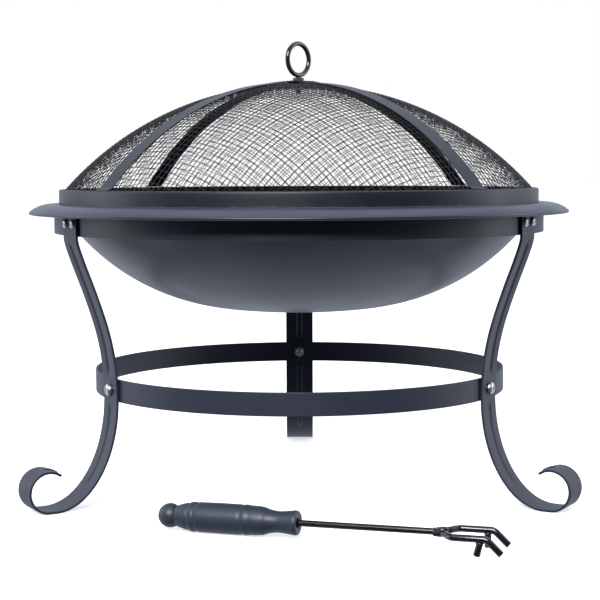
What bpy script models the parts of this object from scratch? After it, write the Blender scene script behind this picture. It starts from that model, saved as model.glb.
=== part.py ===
"""Round fire pit: a strip-steel stand, a dished bowl, a wire-mesh spark lid, a log grate and a poker.

Metres, +Z up. The pit's axis stands a little behind the origin, so that the origin lies on the
floor under the middle of the pit and the poker together. The poker lies in front, towards -Y.
"""
import math

import bmesh
import bpy
from mathutils import Matrix, Vector

# ---------------------------------------------------------------- driving dimensions (metres)
GAP = 0.0003                    # between pieces that touch
AXIS_Y = 0.0172                 # pit axis behind the origin
ROUND_STEPS = 48                # facets round the bowl, the lid and the rings

RIM_RADIUS = 0.2805             # bowl flange, outside
RIM_WIDTH = 0.0310              # flange width outside the lid band
RIM_FLAT = 0.0088               # level part of the flange outside the lid band
RIM_DROP = 0.0078               # fall of the flange from its level part to its rolled edge
ROLL_RADIUS = 0.0016            # rolled edge, outside
ROLL_END = -100.0               # degrees, where the rolled edge stops
BOWL_SHEET = 0.0012
BOWL_DROP = 0.0842              # bottom of the bowl below the upper ring
BOWL_CROWN_RADIUS = 0.6856      # spherical middle of the bowl
BOWL_CROWN_EDGE = 0.0841        # where the middle meets the side
BOWL_SHOULDER_RISE = 0.0045     # shoulder above the upper ring's lower edge
BOWL_SHOULDER_INSET = 0.0065    # shoulder inside the neck
NECK_INSET = 0.0085             # neck inside the lid band
FLANGE_BEND = 0.0020

STAND_HEIGHT = 0.2680           # lower edge of the upper ring above the floor
UPPER_RING_HEIGHT = 0.0282
UPPER_RING_INSET = 0.0258       # upper ring inside the bowl's rim
LOWER_RING_RADIUS = 0.2145
LOWER_RING_HEIGHT = 0.0225
LOWER_RING_MIDDLE = 0.1150      # above the floor
RING_SHEET = 0.0020

LEGS = (("front_right", -30.0), ("front_left", 210.0), ("rear", 90.0))
LEG_WIDTH = 0.0318
LEG_THICK = 0.0025
LEG_BELOW_RING_TOP = 0.0040
LEG_BEND_DROP = 0.0020          # straight run below the upper ring
LEG_SHOULDER_OUT = 0.63         # share of the way from waist to ring
LEG_SHOULDER_UP = 0.73
LEG_SHOULDER_LEAN = 1.50        # lean at the shoulder over the lean of the whole upper leg
LEG_UPPER_PULL = 0.16           # straightness of the curve above the shoulder
LEG_MIDDLE_PULL = 0.40          # and between the shoulder and the waist
LEG_WAIST_PULL = 0.55           # and below the waist
LEG_FOOT_PULL = 0.55            # and where it meets the floor
WAIST_BELOW_RING = 0.0080
FOOT_RADIUS = 0.2880            # axis to the middle of the scroll
FOOT_FLAT = 0.0060
SCROLL_RADIUS = 0.0210
SCROLL_TURN = 217.0             # degrees

TOP_SCREW = {"radius": 0.0025, "head": 0.0047, "rise": 0.0030, "nut": 0.0080, "nut_thick": 0.0040}
RING_SCREW = {"radius": 0.0030, "head": 0.0062, "rise": 0.0040, "nut": 0.0100, "nut_thick": 0.0050}
PAN_HEAD = ((0.0, 1.0), (0.55, 0.93), (0.88, 0.62), (1.0, 0.2))   # shares of its radius and rise
SCREW_TAIL = 0.0015             # thread past the nut
HOLE_CLEARANCE = 0.0003
TOP_SCREW_RISE = 0.0125         # above the upper ring's lower edge
TOP_SCREW_SPACING = 0.0185

LID_BAND_HEIGHT = 0.0144
LID_SHEET = 0.0012
LID_LIP = 0.0038
MESH_THICK = 0.0014
DOME_RISE = 0.1087              # mesh crown above the lip's top
DOME_CROWN_RADIUS = 0.3400
DOME_CROWN_EDGE = 0.0400
DOME_STEPS = (2, 8)               # faces in the crown and down the side
MESH_SKIRT = 0.0045
MESH_SKIRT_SLOPE = 0.85         # fall of the mesh from the lip out to the skirt
STRAP_WIDTH = 0.0200
STRAP_THICK = 0.0012
STRAP_AZIMUTHS = (-46.5, 41.0)  # lower strap, upper strap
STRAP_END_INSET = 0.0020
CROSS_FLAT = 0.0130             # level middle of each strap, from the axis
CROSS_RAMP = 0.0300             # run over which the upper strap comes down to the mesh
HANDLE_RADIUS = 0.0188          # ring handle, outside
HANDLE_WIRE = 0.0025
HANDLE_AZIMUTH = 47.5
SHANK_RADIUS = 0.0025
SHANK_TAIL = 0.0030
BOSS_ACROSS = 0.0100
BOSS_THICK = 0.0030
WASHER_RADIUS = 0.0063
WASHER_THICK = 0.0010
LID_NUT_ACROSS = 0.0080
LID_NUT_THICK = 0.0040

GRATE_RADIUS = 0.1500           # hoop centreline
GRATE_ROD = 0.0030
GRATE_BARS = 9
GRATE_BAR_PITCH = 0.0300
GRATE_BEARER_OUT = 0.0700

POKER_START = (-0.1307, -0.2205)   # ball end, from the pit's axis
POKER_YAW = -17.9               # degrees
GRIP_RADIUS = 0.0140
GRIP_LENGTH = 0.1360
GRIP_WIDEST = 0.0660            # along the grip
GRIP_NECK = 1.45                # neck behind the ball, in ball radii from the end
GRIP_BACK = ((0.66, 0.0012), (0.79, 0.0065))                     # share of the radius, past the neck
GRIP_BODY = ((0.95, 0.0330), (0.985, 0.0430), (1.0, GRIP_WIDEST))   # share, from the ball end
GRIP_FRONT = ((0.99, 0.0530), (0.93, 0.0350), (0.78, 0.0275), (0.70, 0.0190), (0.75, 0.0100),
              (0.81, 0.0035), (0.76, 0.0))                       # share, from the socket end
BALL_RADIUS = 0.0113
ROD_RADIUS = 0.0030
ROD_END = 0.2700                # from the ball end
SOCKET_DEPTH = 0.0200
TINE_RADIUS = 0.0031
TINE_SPREAD = 0.0181            # tine from the poker's axis
TINE_OVERLAP = 0.0085
TINE_SPLAY_START = -0.0025      # past the rod's end
TINE_SPLAY_END = 0.0120
TINE_SPLAY_PULL = 0.45          # straightness of the splay's two ends
TINE_BEND = 0.0370
TINE_BEND_RADIUS = 0.0080
TINE_TIP = 0.0150
TINE_BEND_ANGLE = 43.5          # degrees
SPUR_AT = 0.0346
SPUR_LEAN = {"rear": 0.0, "front": 0.0030}  # foot behind its head
FORK_HEIGHT = 0.0155            # tine centreline above the floor

# ---------------------------------------------------------------- derived sizes
RING_BOTTOM = STAND_HEIGHT
RING_TOP = RING_BOTTOM + UPPER_RING_HEIGHT
UPPER_RING_RADIUS = RIM_RADIUS - UPPER_RING_INSET
FLANGE_UNDER = RING_TOP + GAP
FLANGE_TOP = FLANGE_UNDER + BOWL_SHEET
LID_RADIUS = RIM_RADIUS - RIM_WIDTH
LID_BOTTOM = FLANGE_TOP + GAP
LID_TOP = LID_BOTTOM + LID_BAND_HEIGHT
LIP_RADIUS = LID_RADIUS - LID_LIP
NECK_RADIUS = LID_RADIUS - NECK_INSET
BOWL_BOTTOM = RING_BOTTOM - BOWL_DROP
MESH_TOP = LID_TOP + DOME_RISE
SCREW_HEIGHT = RING_BOTTOM + TOP_SCREW_RISE
FACET = math.cos(math.pi / ROUND_STEPS)


# ---------------------------------------------------------------- outlines
def arc(centre, radius, start, end, steps):
    """Points on a circle from one angle to another, in degrees."""
    points = []
    for index in range(steps + 1):
        angle = math.radians(start + (end - start) * index / steps)
        points.append((centre[0] + radius * math.cos(angle), centre[1] + radius * math.sin(angle)))
    return points


def arc_to(start, slope, end, steps):
    """Arc that leaves start at a slope (radians) and ends at a point: its points and last slope."""
    across = end[0] - start[0]
    along = end[1] - start[1]
    normal = (-math.sin(slope), math.cos(slope))
    radius = (across ** 2 + along ** 2) / (2 * (across * normal[0] + along * normal[1]))
    sweep = 2 * (math.atan2(along, across) - slope)
    centre = (start[0] + normal[0] * radius, start[1] + normal[1] * radius)
    points = []
    for index in range(1, steps + 1):
        angle = slope + sweep * index / steps
        points.append((centre[0] + radius * math.sin(angle), centre[1] - radius * math.cos(angle)))
    return points, slope + sweep


def dish(crown_radius, crown_edge, end, steps):
    """Rise of a dish from its middle: a spherical crown, then an arc to the end point."""
    edge_slope = math.asin(crown_edge / crown_radius)
    crown = []
    for index in range(steps[0] + 1):
        slope = edge_slope * index / steps[0]
        crown.append((crown_radius * math.sin(slope), crown_radius * (1 - math.cos(slope))))
    side, end_slope = arc_to(crown[-1], edge_slope, end, steps[1])
    return crown + side, end_slope


def bezier(start, pull_start, pull_end, end, steps):
    """Points of a cubic curve after its start."""
    points = []
    for index in range(1, steps + 1):
        t = index / steps
        s = 1 - t
        weights = (s ** 3, 3 * s * s * t, 3 * s * t * t, t ** 3)
        corners = (start, pull_start, pull_end, end)
        points.append(tuple(sum(w * c[axis] for w, c in zip(weights, corners)) for axis in (0, 1)))
    return points


def offset(points, distance):
    """The outline moved to its left; a point on the axis stays on the axis."""
    moved = []
    for index, point in enumerate(points):
        before = Vector(points[max(index - 1, 0)])
        after = Vector(points[min(index + 1, len(points) - 1)])
        here = Vector(point)
        first = (here - before).normalized() if index > 0 else (after - here).normalized()
        last = (after - here).normalized() if index < len(points) - 1 else first
        along = (first + last).normalized()
        miter = distance / max(along.dot(first), 0.3)
        shift = Vector((-along.y, along.x)) * miter
        if point[0] < 1e-9:
            shift = Vector((0.0, distance))
        moved.append((here.x + shift.x, here.y + shift.y))
    return moved


# ---------------------------------------------------------------- making objects
def clear_scene():
    for item in list(bpy.data.objects):
        bpy.data.objects.remove(item, do_unlink=True)


def paint(name, colour, roughness, metallic):
    material = bpy.data.materials.new(name)
    material.use_nodes = True
    shader = material.node_tree.nodes["Principled BSDF"]
    shader.inputs["Base Color"].default_value = (*colour, 1.0)
    shader.inputs["Roughness"].default_value = roughness
    shader.inputs["Metallic"].default_value = metallic
    return material


def add_object(name, data, material=None, parent=None):
    item = bpy.data.objects.new(name, data)
    bpy.context.scene.collection.objects.link(item)
    item.parent = parent
    if material is not None and not data.materials:
        data.materials.append(material)
    return item


def add_empty(name, location=(0.0, 0.0, 0.0), turn=(0.0, 0.0, 0.0), parent=None):
    item = add_object(name, None, parent=parent)
    item.location = location
    item.rotation_euler = turn
    return item


def finish_mesh(name, shape):
    """A mesh from a bmesh, with its faces out and its round parts smooth."""
    bmesh.ops.remove_doubles(shape, verts=shape.verts, dist=1e-6)
    bmesh.ops.recalc_face_normals(shape, faces=shape.faces)
    mesh = bpy.data.meshes.new(name)
    shape.to_mesh(mesh)
    shape.free()
    mesh.shade_smooth()
    mesh.set_sharp_from_angle(angle=math.radians(35))
    return mesh


def turned_mesh(name, outline, closed, steps=ROUND_STEPS):
    """An outline of (radius, height) points spun about Z."""
    shape = bmesh.new()
    verts = [shape.verts.new((radius, 0.0, height)) for radius, height in outline]
    edges = [shape.edges.new(pair) for pair in zip(verts, verts[1:])]
    if closed:
        edges.append(shape.edges.new((verts[-1], verts[0])))
    bmesh.ops.spin(shape, geom=verts + edges, axis=(0, 0, 1), cent=(0, 0, 0), angle=math.tau,
                   steps=steps, use_merge=True)
    return finish_mesh(name, shape)


def swept_mesh(name, path, section, side, closed=False):
    """A section of (sideways, upward) points carried along a path; side is roughly sideways."""
    shape = bmesh.new()
    rings = []
    count = len(path)
    for index, point in enumerate(path):
        before = path[(index - 1) % count if closed else max(index - 1, 0)]
        after = path[(index + 1) % count if closed else min(index + 1, count - 1)]
        along = (Vector(after) - Vector(before)).normalized()
        upward = along.cross(Vector(side)).normalized()
        across = upward.cross(along)
        places = [Vector(point) + across * a + upward * b for a, b in section]
        rings.append([shape.verts.new(place) for place in places])
    links = list(zip(rings, rings[1:]))
    if closed:
        links.append((rings[-1], rings[0]))
    for ring, following in links:
        for index in range(len(section)):
            other = (index + 1) % len(section)
            shape.faces.new((ring[index], ring[other], following[other], following[index]))
    if not closed:
        shape.faces.new(rings[0])
        shape.faces.new(rings[-1])
    return finish_mesh(name, shape)


def round_section(radius, sides):
    return arc((0.0, 0.0), radius, 0.0, 360.0, sides)[:-1]


def strip_section(width, thickness):
    """A flat strip whose path runs along the middle of its lower face."""
    half = width / 2
    return [(-half, 0.0), (half, 0.0), (half, thickness), (-half, thickness)]


def nut_mesh(name, across, hole, thickness):
    """A hexagon nut with a round hole, standing up from Z = 0."""
    shape = bmesh.new()
    loops = []
    for height in (0.0, thickness):
        outer = []
        inner = []
        for index in range(12):
            angle = math.radians(30 * index)
            reach = across / 2 if index % 2 else across / 2 / math.cos(math.radians(30))
            outer.append(shape.verts.new((reach * math.cos(angle), reach * math.sin(angle), height)))
            inner.append(shape.verts.new((hole * math.cos(angle), hole * math.sin(angle), height)))
        loops += [outer, inner]
    bottom_outer, bottom_inner, top_outer, top_inner = loops
    for first, second in ((bottom_outer, bottom_inner), (top_outer, top_inner),
                          (bottom_outer, top_outer), (bottom_inner, top_inner)):
        for index in range(12):
            other = (index + 1) % 12
            shape.faces.new((first[index], first[other], second[other], second[index]))
    return finish_mesh(name, shape)


def screw_mesh(name, size, length):
    """A pan-head screw: its head rises from Z = 0 and its shank goes down."""
    outline = [(size["head"] * out, size["rise"] * up) for out, up in PAN_HEAD]
    outline += [(size["head"], 0.0), (size["radius"], 0.0), (size["radius"], -length), (0.0, -length)]
    return turned_mesh(name, outline, closed=False, steps=12)


def cut(item, cutter):
    modifier = item.modifiers.new("holes", "BOOLEAN")
    modifier.operation = "DIFFERENCE"
    modifier.solver = "EXACT"
    modifier.object = cutter


def add_cutter(name, cylinders, parent):
    """Cylinders of (start, direction, radius, length), joined into one hidden cutter."""
    shape = bmesh.new()
    for start, direction, radius, length in cylinders:
        turn = Vector(direction).to_track_quat("Z", "Y").to_matrix().to_4x4()
        place = Matrix.Translation(Vector(start) + Vector(direction) * length / 2) @ turn
        bmesh.ops.create_cone(shape, cap_ends=True, segments=12, radius1=radius, radius2=radius,
                              depth=length, matrix=place)
    mesh = bpy.data.meshes.new(name)
    shape.to_mesh(mesh)
    shape.free()
    cutter = add_object(name, mesh, parent=parent)
    cutter.hide_render = True
    cutter.display_type = "WIRE"
    return cutter


# ---------------------------------------------------------------- the stand
def leg_path():
    """The leg's inner face from its top down to the scroll's tip, as (out, up) points."""
    top_out = UPPER_RING_RADIUS + GAP
    waist = (LOWER_RING_RADIUS + GAP, LOWER_RING_MIDDLE - WAIST_BELOW_RING)
    bend = (top_out, RING_BOTTOM - LEG_BEND_DROP)
    lean_out = bend[0] - waist[0]
    lean_up = bend[1] - waist[1]
    shoulder = (waist[0] + LEG_SHOULDER_OUT * lean_out, waist[1] + LEG_SHOULDER_UP * lean_up)
    slant = Vector((lean_out * LEG_SHOULDER_LEAN, lean_up)).normalized()
    upper = LEG_UPPER_PULL * (bend[1] - shoulder[1])
    middle = LEG_MIDDLE_PULL * (shoulder[1] - waist[1])
    foot = (FOOT_RADIUS - FOOT_FLAT, 0.0)
    path = [(top_out, RING_TOP - LEG_BELOW_RING_TOP), bend]
    path += bezier(bend, (bend[0], bend[1] - upper),
                   (shoulder[0] + slant.x * upper, shoulder[1] + slant.y * upper), shoulder, 5)
    path += bezier(shoulder, (shoulder[0] - slant.x * middle, shoulder[1] - slant.y * middle),
                   (waist[0], waist[1] + middle), waist, 6)
    path += bezier(waist, (waist[0], waist[1] * (1 - LEG_WAIST_PULL)),
                   (foot[0] - (foot[0] - waist[0]) * LEG_FOOT_PULL, 0.0), foot, 9)
    path += arc((FOOT_RADIUS, SCROLL_RADIUS), SCROLL_RADIUS, -90.0, -90.0 + SCROLL_TURN, 12)
    return path


def nut_seat(ring_radius, offset_across, nut_across):
    """Distance from the axis to a nut's outer face, clear of the ring's curved inside."""
    inside = (ring_radius - RING_SHEET) * FACET
    corner = offset_across + nut_across / 2 / math.cos(math.radians(30))
    return math.sqrt(inside ** 2 - corner ** 2) - GAP


def ring_mesh(name, radius, bottom, height):
    inner = radius - RING_SHEET
    outline = [(inner, bottom), (radius, bottom), (radius, bottom + height), (inner, bottom + height)]
    return turned_mesh(name, outline, closed=True)


def add_stand(axis, steel, zinc):
    upper = add_object("upper_ring", ring_mesh("upper_ring", UPPER_RING_RADIUS, RING_BOTTOM,
                                               UPPER_RING_HEIGHT), steel, axis)
    lower = add_object("lower_ring", ring_mesh("lower_ring", LOWER_RING_RADIUS,
                                               LOWER_RING_MIDDLE - LOWER_RING_HEIGHT / 2,
                                               LOWER_RING_HEIGHT), steel, axis)
    path = [(out, 0.0, up) for out, up in leg_path()]
    leg_mesh = swept_mesh("leg", path, strip_section(LEG_WIDTH, LEG_THICK), side=(0, 1, 0))
    top_face = UPPER_RING_RADIUS + GAP + LEG_THICK
    low_face = LOWER_RING_RADIUS + GAP + LEG_THICK + waist_slack()
    top_nut = nut_seat(UPPER_RING_RADIUS, TOP_SCREW_SPACING / 2, TOP_SCREW["nut"])
    low_nut = nut_seat(LOWER_RING_RADIUS, 0.0, RING_SCREW["nut"])
    places = [("top_a", TOP_SCREW, -TOP_SCREW_SPACING / 2, SCREW_HEIGHT, top_face, top_nut),
              ("top_b", TOP_SCREW, TOP_SCREW_SPACING / 2, SCREW_HEIGHT, top_face, top_nut),
              ("ring", RING_SCREW, 0.0, LOWER_RING_MIDDLE, low_face, low_nut)]
    meshes = {}
    for place, size, _, _, face, seat in places:
        length = face + GAP - seat + size["nut_thick"] + SCREW_TAIL
        hole = size["radius"] + HOLE_CLEARANCE
        meshes[place] = (screw_mesh("screw_" + place, size, length),
                         nut_mesh("nut_" + place, size["nut"], hole, size["nut_thick"]))
    for leg_name, azimuth in LEGS:
        frame = add_empty("frame_" + leg_name, turn=(0.0, 0.0, math.radians(azimuth)), parent=axis)
        leg = add_object("leg_" + leg_name, leg_mesh, steel, frame)
        holes = []
        for place, size, across, height, face, seat in places:
            screw = add_object("screw_%s_%s" % (place, leg_name), meshes[place][0], zinc, frame)
            screw.location = (face + GAP, across, height)
            screw.rotation_euler = (0.0, math.radians(90), 0.0)
            nut = add_object("nut_%s_%s" % (place, leg_name), meshes[place][1], zinc, frame)
            nut.location = (seat - size["nut_thick"], across, height)
            nut.rotation_euler = (0.0, math.radians(90), 0.0)
            reach = face - seat + 4 * LEG_THICK
            holes.append(((seat - LEG_THICK, across, height), (1, 0, 0),
                          size["radius"] + HOLE_CLEARANCE, reach))
        cutter = add_cutter("holes_" + leg_name, holes, frame)
        for item in (leg, upper, lower):
            cut(item, cutter)


def waist_slack():
    """How far the leg stands off the lower ring at the ring screw's head."""
    head_top = LOWER_RING_MIDDLE + RING_SCREW["head"]
    nearest = min(leg_path(), key=lambda point: abs(point[1] - head_top))
    return nearest[0] - LOWER_RING_RADIUS - GAP


# ---------------------------------------------------------------- the bowl
def bowl_outline():
    """The bowl's outer face, from the middle of its bottom to the rolled edge of its rim."""
    shoulder = (NECK_RADIUS - BOWL_SHOULDER_INSET, BOWL_DROP + BOWL_SHOULDER_RISE)
    points, slope = dish(BOWL_CROWN_RADIUS, BOWL_CROWN_EDGE, shoulder, (2, 7))
    turn_radius = BOWL_SHOULDER_INSET / (1 - math.sin(slope))
    centre = (NECK_RADIUS - turn_radius, shoulder[1] + turn_radius * math.cos(slope))
    points += arc(centre, turn_radius, math.degrees(slope) - 90.0, 0.0, 2)[1:]
    points = [(radius, height + BOWL_BOTTOM) for radius, height in points]
    bend = (NECK_RADIUS + FLANGE_BEND, FLANGE_UNDER - FLANGE_BEND)
    points += arc(bend, FLANGE_BEND, 180.0, 90.0, 2)
    flat_end = LID_RADIUS + RIM_FLAT
    whole_run = RIM_RADIUS - flat_end
    steepest = 2 * math.atan(RIM_DROP / whole_run)
    fall_run = whole_run - ROLL_RADIUS * (1 - math.sin(steepest))
    fall_radius = (fall_run ** 2 + RIM_DROP ** 2) / (2 * RIM_DROP)
    fall_angle = math.degrees(math.asin(fall_run / fall_radius))
    under = fall_radius - BOWL_SHEET
    centre = (flat_end, FLANGE_UNDER - under)
    points += arc(centre, under, 90.0, 90.0 - fall_angle, 3)
    return points, centre, fall_radius, fall_angle


def rolled_edge(centre, fall_radius, fall_angle):
    """The rolled lip, as points on the sheet's upper face, turning down and in."""
    start = 90.0 - fall_angle
    reach = fall_radius - ROLL_RADIUS
    hub = (centre[0] + reach * math.cos(math.radians(start)),
           centre[1] + reach * math.sin(math.radians(start)))
    return arc(hub, ROLL_RADIUS, start, ROLL_END, 3)


def add_bowl(axis, steel):
    """The bowl; its wall's upper face is returned, for what rests in it."""
    under, centre, fall_radius, fall_angle = bowl_outline()
    top = offset(under, BOWL_SHEET)
    roll = rolled_edge(centre, fall_radius, fall_angle)
    outline = under + list(reversed(top + roll[1:]))
    add_object("bowl", turned_mesh("bowl", outline, closed=False), steel, axis)
    return top


# ---------------------------------------------------------------- the lid
def dome_outline():
    """The mesh dome's outer face from its crown to the lip, as (radius, height) points."""
    edge = (LIP_RADIUS - LID_SHEET, MESH_TOP - (LID_TOP - LID_SHEET - GAP))
    points, _ = dish(DOME_CROWN_RADIUS, DOME_CROWN_EDGE, edge, DOME_STEPS)
    return [(radius, MESH_TOP - fall) for radius, fall in points]


def mesh_outline():
    hole = SHANK_RADIUS + 2 * HOLE_CLEARANCE
    points = dome_outline()
    points[0] = (hole, MESH_TOP)
    skirt_radius = LID_RADIUS - LID_SHEET - GAP
    edge = points[-1]
    skirt_top = edge[1] - (skirt_radius - edge[0]) * MESH_SKIRT_SLOPE
    skirt = [(skirt_radius, skirt_top), (skirt_radius, skirt_top - MESH_SKIRT)]
    outer = points + skirt
    return outer + list(reversed(offset(outer, -MESH_THICK)))


def strap_path(raise_by):
    """A strap's lower face across the dome, as (along, up) points from one end to the other."""
    rest = LID_TOP + GAP
    level = MESH_TOP + GAP + raise_by
    half = [(0.0, level), (CROSS_FLAT, level)]
    for radius, height in dome_outline():
        if radius <= CROSS_FLAT:
            continue
        share = min(max((CROSS_FLAT + CROSS_RAMP - radius) / CROSS_RAMP, 0.0), 1.0)
        lift = raise_by * share * share * (3 - 2 * share)
        half.append((radius, height + GAP + lift))
    half = [point for point in half if point[1] > rest + STRAP_THICK]
    end = LID_RADIUS - STRAP_END_INSET
    half += [(LIP_RADIUS - STRAP_THICK, rest), (end, rest)]
    return [(-radius, height) for radius, height in reversed(half[1:])] + half


def add_lid(axis, steel, wire, zinc):
    band = [(LID_RADIUS - LID_SHEET, LID_BOTTOM), (LID_RADIUS, LID_BOTTOM), (LID_RADIUS, LID_TOP),
            (LIP_RADIUS, LID_TOP), (LIP_RADIUS, LID_TOP - LID_SHEET),
            (LID_RADIUS - LID_SHEET, LID_TOP - LID_SHEET)]
    add_object("lid_band", turned_mesh("lid_band", band, closed=True), steel, axis)
    add_object("lid_mesh", turned_mesh("lid_mesh", mesh_outline(), closed=True), wire, axis)
    hole = SHANK_RADIUS + HOLE_CLEARANCE
    stack = MESH_TOP + GAP
    step = STRAP_THICK + GAP
    cutter = add_cutter("holes_straps", [((0, 0, MESH_TOP - step), (0, 0, 1), hole, 5 * step)], axis)
    for level, (name, azimuth) in enumerate(zip(("lower", "upper"), STRAP_AZIMUTHS)):
        path = [(along, 0.0, up) for along, up in strap_path(level * step)]
        mesh = swept_mesh("strap_" + name, path, strip_section(STRAP_WIDTH, STRAP_THICK),
                          side=(0, 1, 0))
        strap = add_object("strap_" + name, mesh, steel, axis)
        strap.rotation_euler = (0.0, 0.0, math.radians(azimuth))
        cut(strap, cutter)
    boss_bottom = stack + 2 * step
    boss = add_object("handle_boss", nut_mesh("handle_boss", BOSS_ACROSS, hole, BOSS_THICK), zinc, axis)
    boss.location = (0.0, 0.0, boss_bottom)
    washer_top = MESH_TOP - MESH_THICK - GAP
    washer = [(hole, washer_top - WASHER_THICK), (WASHER_RADIUS, washer_top - WASHER_THICK),
              (WASHER_RADIUS, washer_top), (hole, washer_top)]
    add_object("handle_washer", turned_mesh("handle_washer", washer, True, steps=16), zinc, axis)
    nut_bottom = washer_top - WASHER_THICK - GAP - LID_NUT_THICK
    nut = add_object("handle_nut", nut_mesh("handle_nut", LID_NUT_ACROSS, hole, LID_NUT_THICK), zinc,
                     axis)
    nut.location = (0.0, 0.0, nut_bottom)
    add_handle(axis, steel, boss_bottom + BOSS_THICK + GAP, nut_bottom - SHANK_TAIL)


def add_handle(axis, steel, ring_bottom, shank_bottom):
    """The upright ring and its threaded shank, one forged piece."""
    wire_circle = HANDLE_RADIUS - HANDLE_WIRE
    middle = ring_bottom + HANDLE_RADIUS
    path = [(out, 0.0, up) for out, up in arc((0.0, middle), wire_circle, -90.0, 270.0, 24)[:-1]]
    ring = swept_mesh("ring_handle", path, round_section(HANDLE_WIRE, 8), (0, 1, 0), closed=True)
    handle = add_object("ring_handle", ring, steel, axis)
    handle.rotation_euler = (0.0, 0.0, math.radians(HANDLE_AZIMUTH))
    rod = [(0.0, ring_bottom + HANDLE_WIRE), (SHANK_RADIUS, ring_bottom + HANDLE_WIRE),
           (SHANK_RADIUS, shank_bottom), (0.0, shank_bottom)]
    shank = add_object("handle_shank", turned_mesh("handle_shank", rod, False, steps=12), None, axis)
    shank.hide_render = True
    shank.display_type = "WIRE"
    join = handle.modifiers.new("shank", "BOOLEAN")
    join.operation = "UNION"
    join.solver = "EXACT"
    join.object = shank


# ---------------------------------------------------------------- the grate
def hoop_height(wall):
    """Height at which the hoop's rod just rests on the bowl's inner wall."""
    reach = GRATE_ROD + GAP
    height = BOWL_BOTTOM
    for first, second in zip(wall, wall[1:]):
        for index in range(20):
            share = index / 20
            radius = first[0] + (second[0] - first[0]) * share
            level = first[1] + (second[1] - first[1]) * share
            away = abs(radius - GRATE_RADIUS)
            if away < reach and level < FLANGE_UNDER - reach:
                height = max(height, level + math.sqrt(reach ** 2 - away ** 2))
    return height + GAP


def add_rod(name, start, end, radius, side, material, parent, sides=8):
    mesh = swept_mesh(name, [start, end], round_section(radius, sides), side)
    return add_object(name, mesh, material, parent)


def add_grate(axis, iron, wall):
    level = hoop_height(wall)
    circle = arc((0.0, 0.0), GRATE_RADIUS, 0.0, 360.0, ROUND_STEPS)[:-1]
    path = [(x, y, level) for x, y in circle]
    hoop = swept_mesh("grate_hoop", path, round_section(GRATE_ROD, 6), (0, 0, 1), closed=True)
    add_object("grate_hoop", hoop, iron, axis)
    inside = (GRATE_RADIUS - GRATE_ROD) * FACET - GAP
    for name, out in (("left", -GRATE_BEARER_OUT), ("right", GRATE_BEARER_OUT)):
        half = math.sqrt(inside ** 2 - (abs(out) + GRATE_ROD) ** 2)
        add_rod("grate_bearer_" + name, (out, -half, level), (out, half, level), GRATE_ROD,
                (0, 0, 1), iron, axis)
    bar_level = level + 2 * GRATE_ROD + GAP
    for index in range(GRATE_BARS):
        across = (index - (GRATE_BARS - 1) / 2) * GRATE_BAR_PITCH
        half = math.sqrt(GRATE_RADIUS ** 2 - across ** 2)
        add_rod("grate_bar_%d" % (index + 1), (-half, across, bar_level), (half, across, bar_level),
                GRATE_ROD, (0, 0, 1), iron, axis)


# ---------------------------------------------------------------- the poker
def grip_outline():
    """The turned grip from its ball to its socket, as (radius, along) points."""
    neck_at = GRIP_NECK * BALL_RADIUS
    points = arc((0.0, BALL_RADIUS), BALL_RADIUS, -90.0, 25.0, 6)
    points[0] = (0.0, 0.0)
    points += [(share * GRIP_RADIUS, neck_at + along) for share, along in GRIP_BACK]
    points += [(share * GRIP_RADIUS, along) for share, along in GRIP_BODY]
    points += [(share * GRIP_RADIUS, GRIP_LENGTH - along) for share, along in GRIP_FRONT]
    bore = ROD_RADIUS + HOLE_CLEARANCE
    points += [(bore, GRIP_LENGTH), (bore, GRIP_LENGTH - SOCKET_DEPTH - GAP)]
    points += [(0.0, GRIP_LENGTH - SOCKET_DEPTH - GAP)]
    return points


def tine_path(side):
    """A tine's centreline in the poker's frame: beside the rod, out, forward and down."""
    beside = side * (ROD_RADIUS + GAP + TINE_RADIUS)
    spread = side * TINE_SPREAD
    path = [(ROD_END - TINE_OVERLAP, beside, 0.0)]
    start = (ROD_END + TINE_SPLAY_START, beside)
    end = (ROD_END + TINE_SPLAY_END, spread)
    pull = TINE_SPLAY_PULL * (end[0] - start[0])
    path += [(start[0], start[1], 0.0)]
    path += [(x, y, 0.0) for x, y in bezier(start, (start[0] + pull, start[1]),
                                            (end[0] - pull, end[1]), end, 6)]
    bend = arc((ROD_END + TINE_BEND, -TINE_BEND_RADIUS), TINE_BEND_RADIUS, 90.0,
               90.0 - TINE_BEND_ANGLE, 4)
    path += [(x, spread, z) for x, z in bend]
    slope = math.radians(TINE_BEND_ANGLE)
    last = bend[-1]
    path += [(last[0] + TINE_TIP * math.cos(slope), spread, last[1] - TINE_TIP * math.sin(slope))]
    return path


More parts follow.
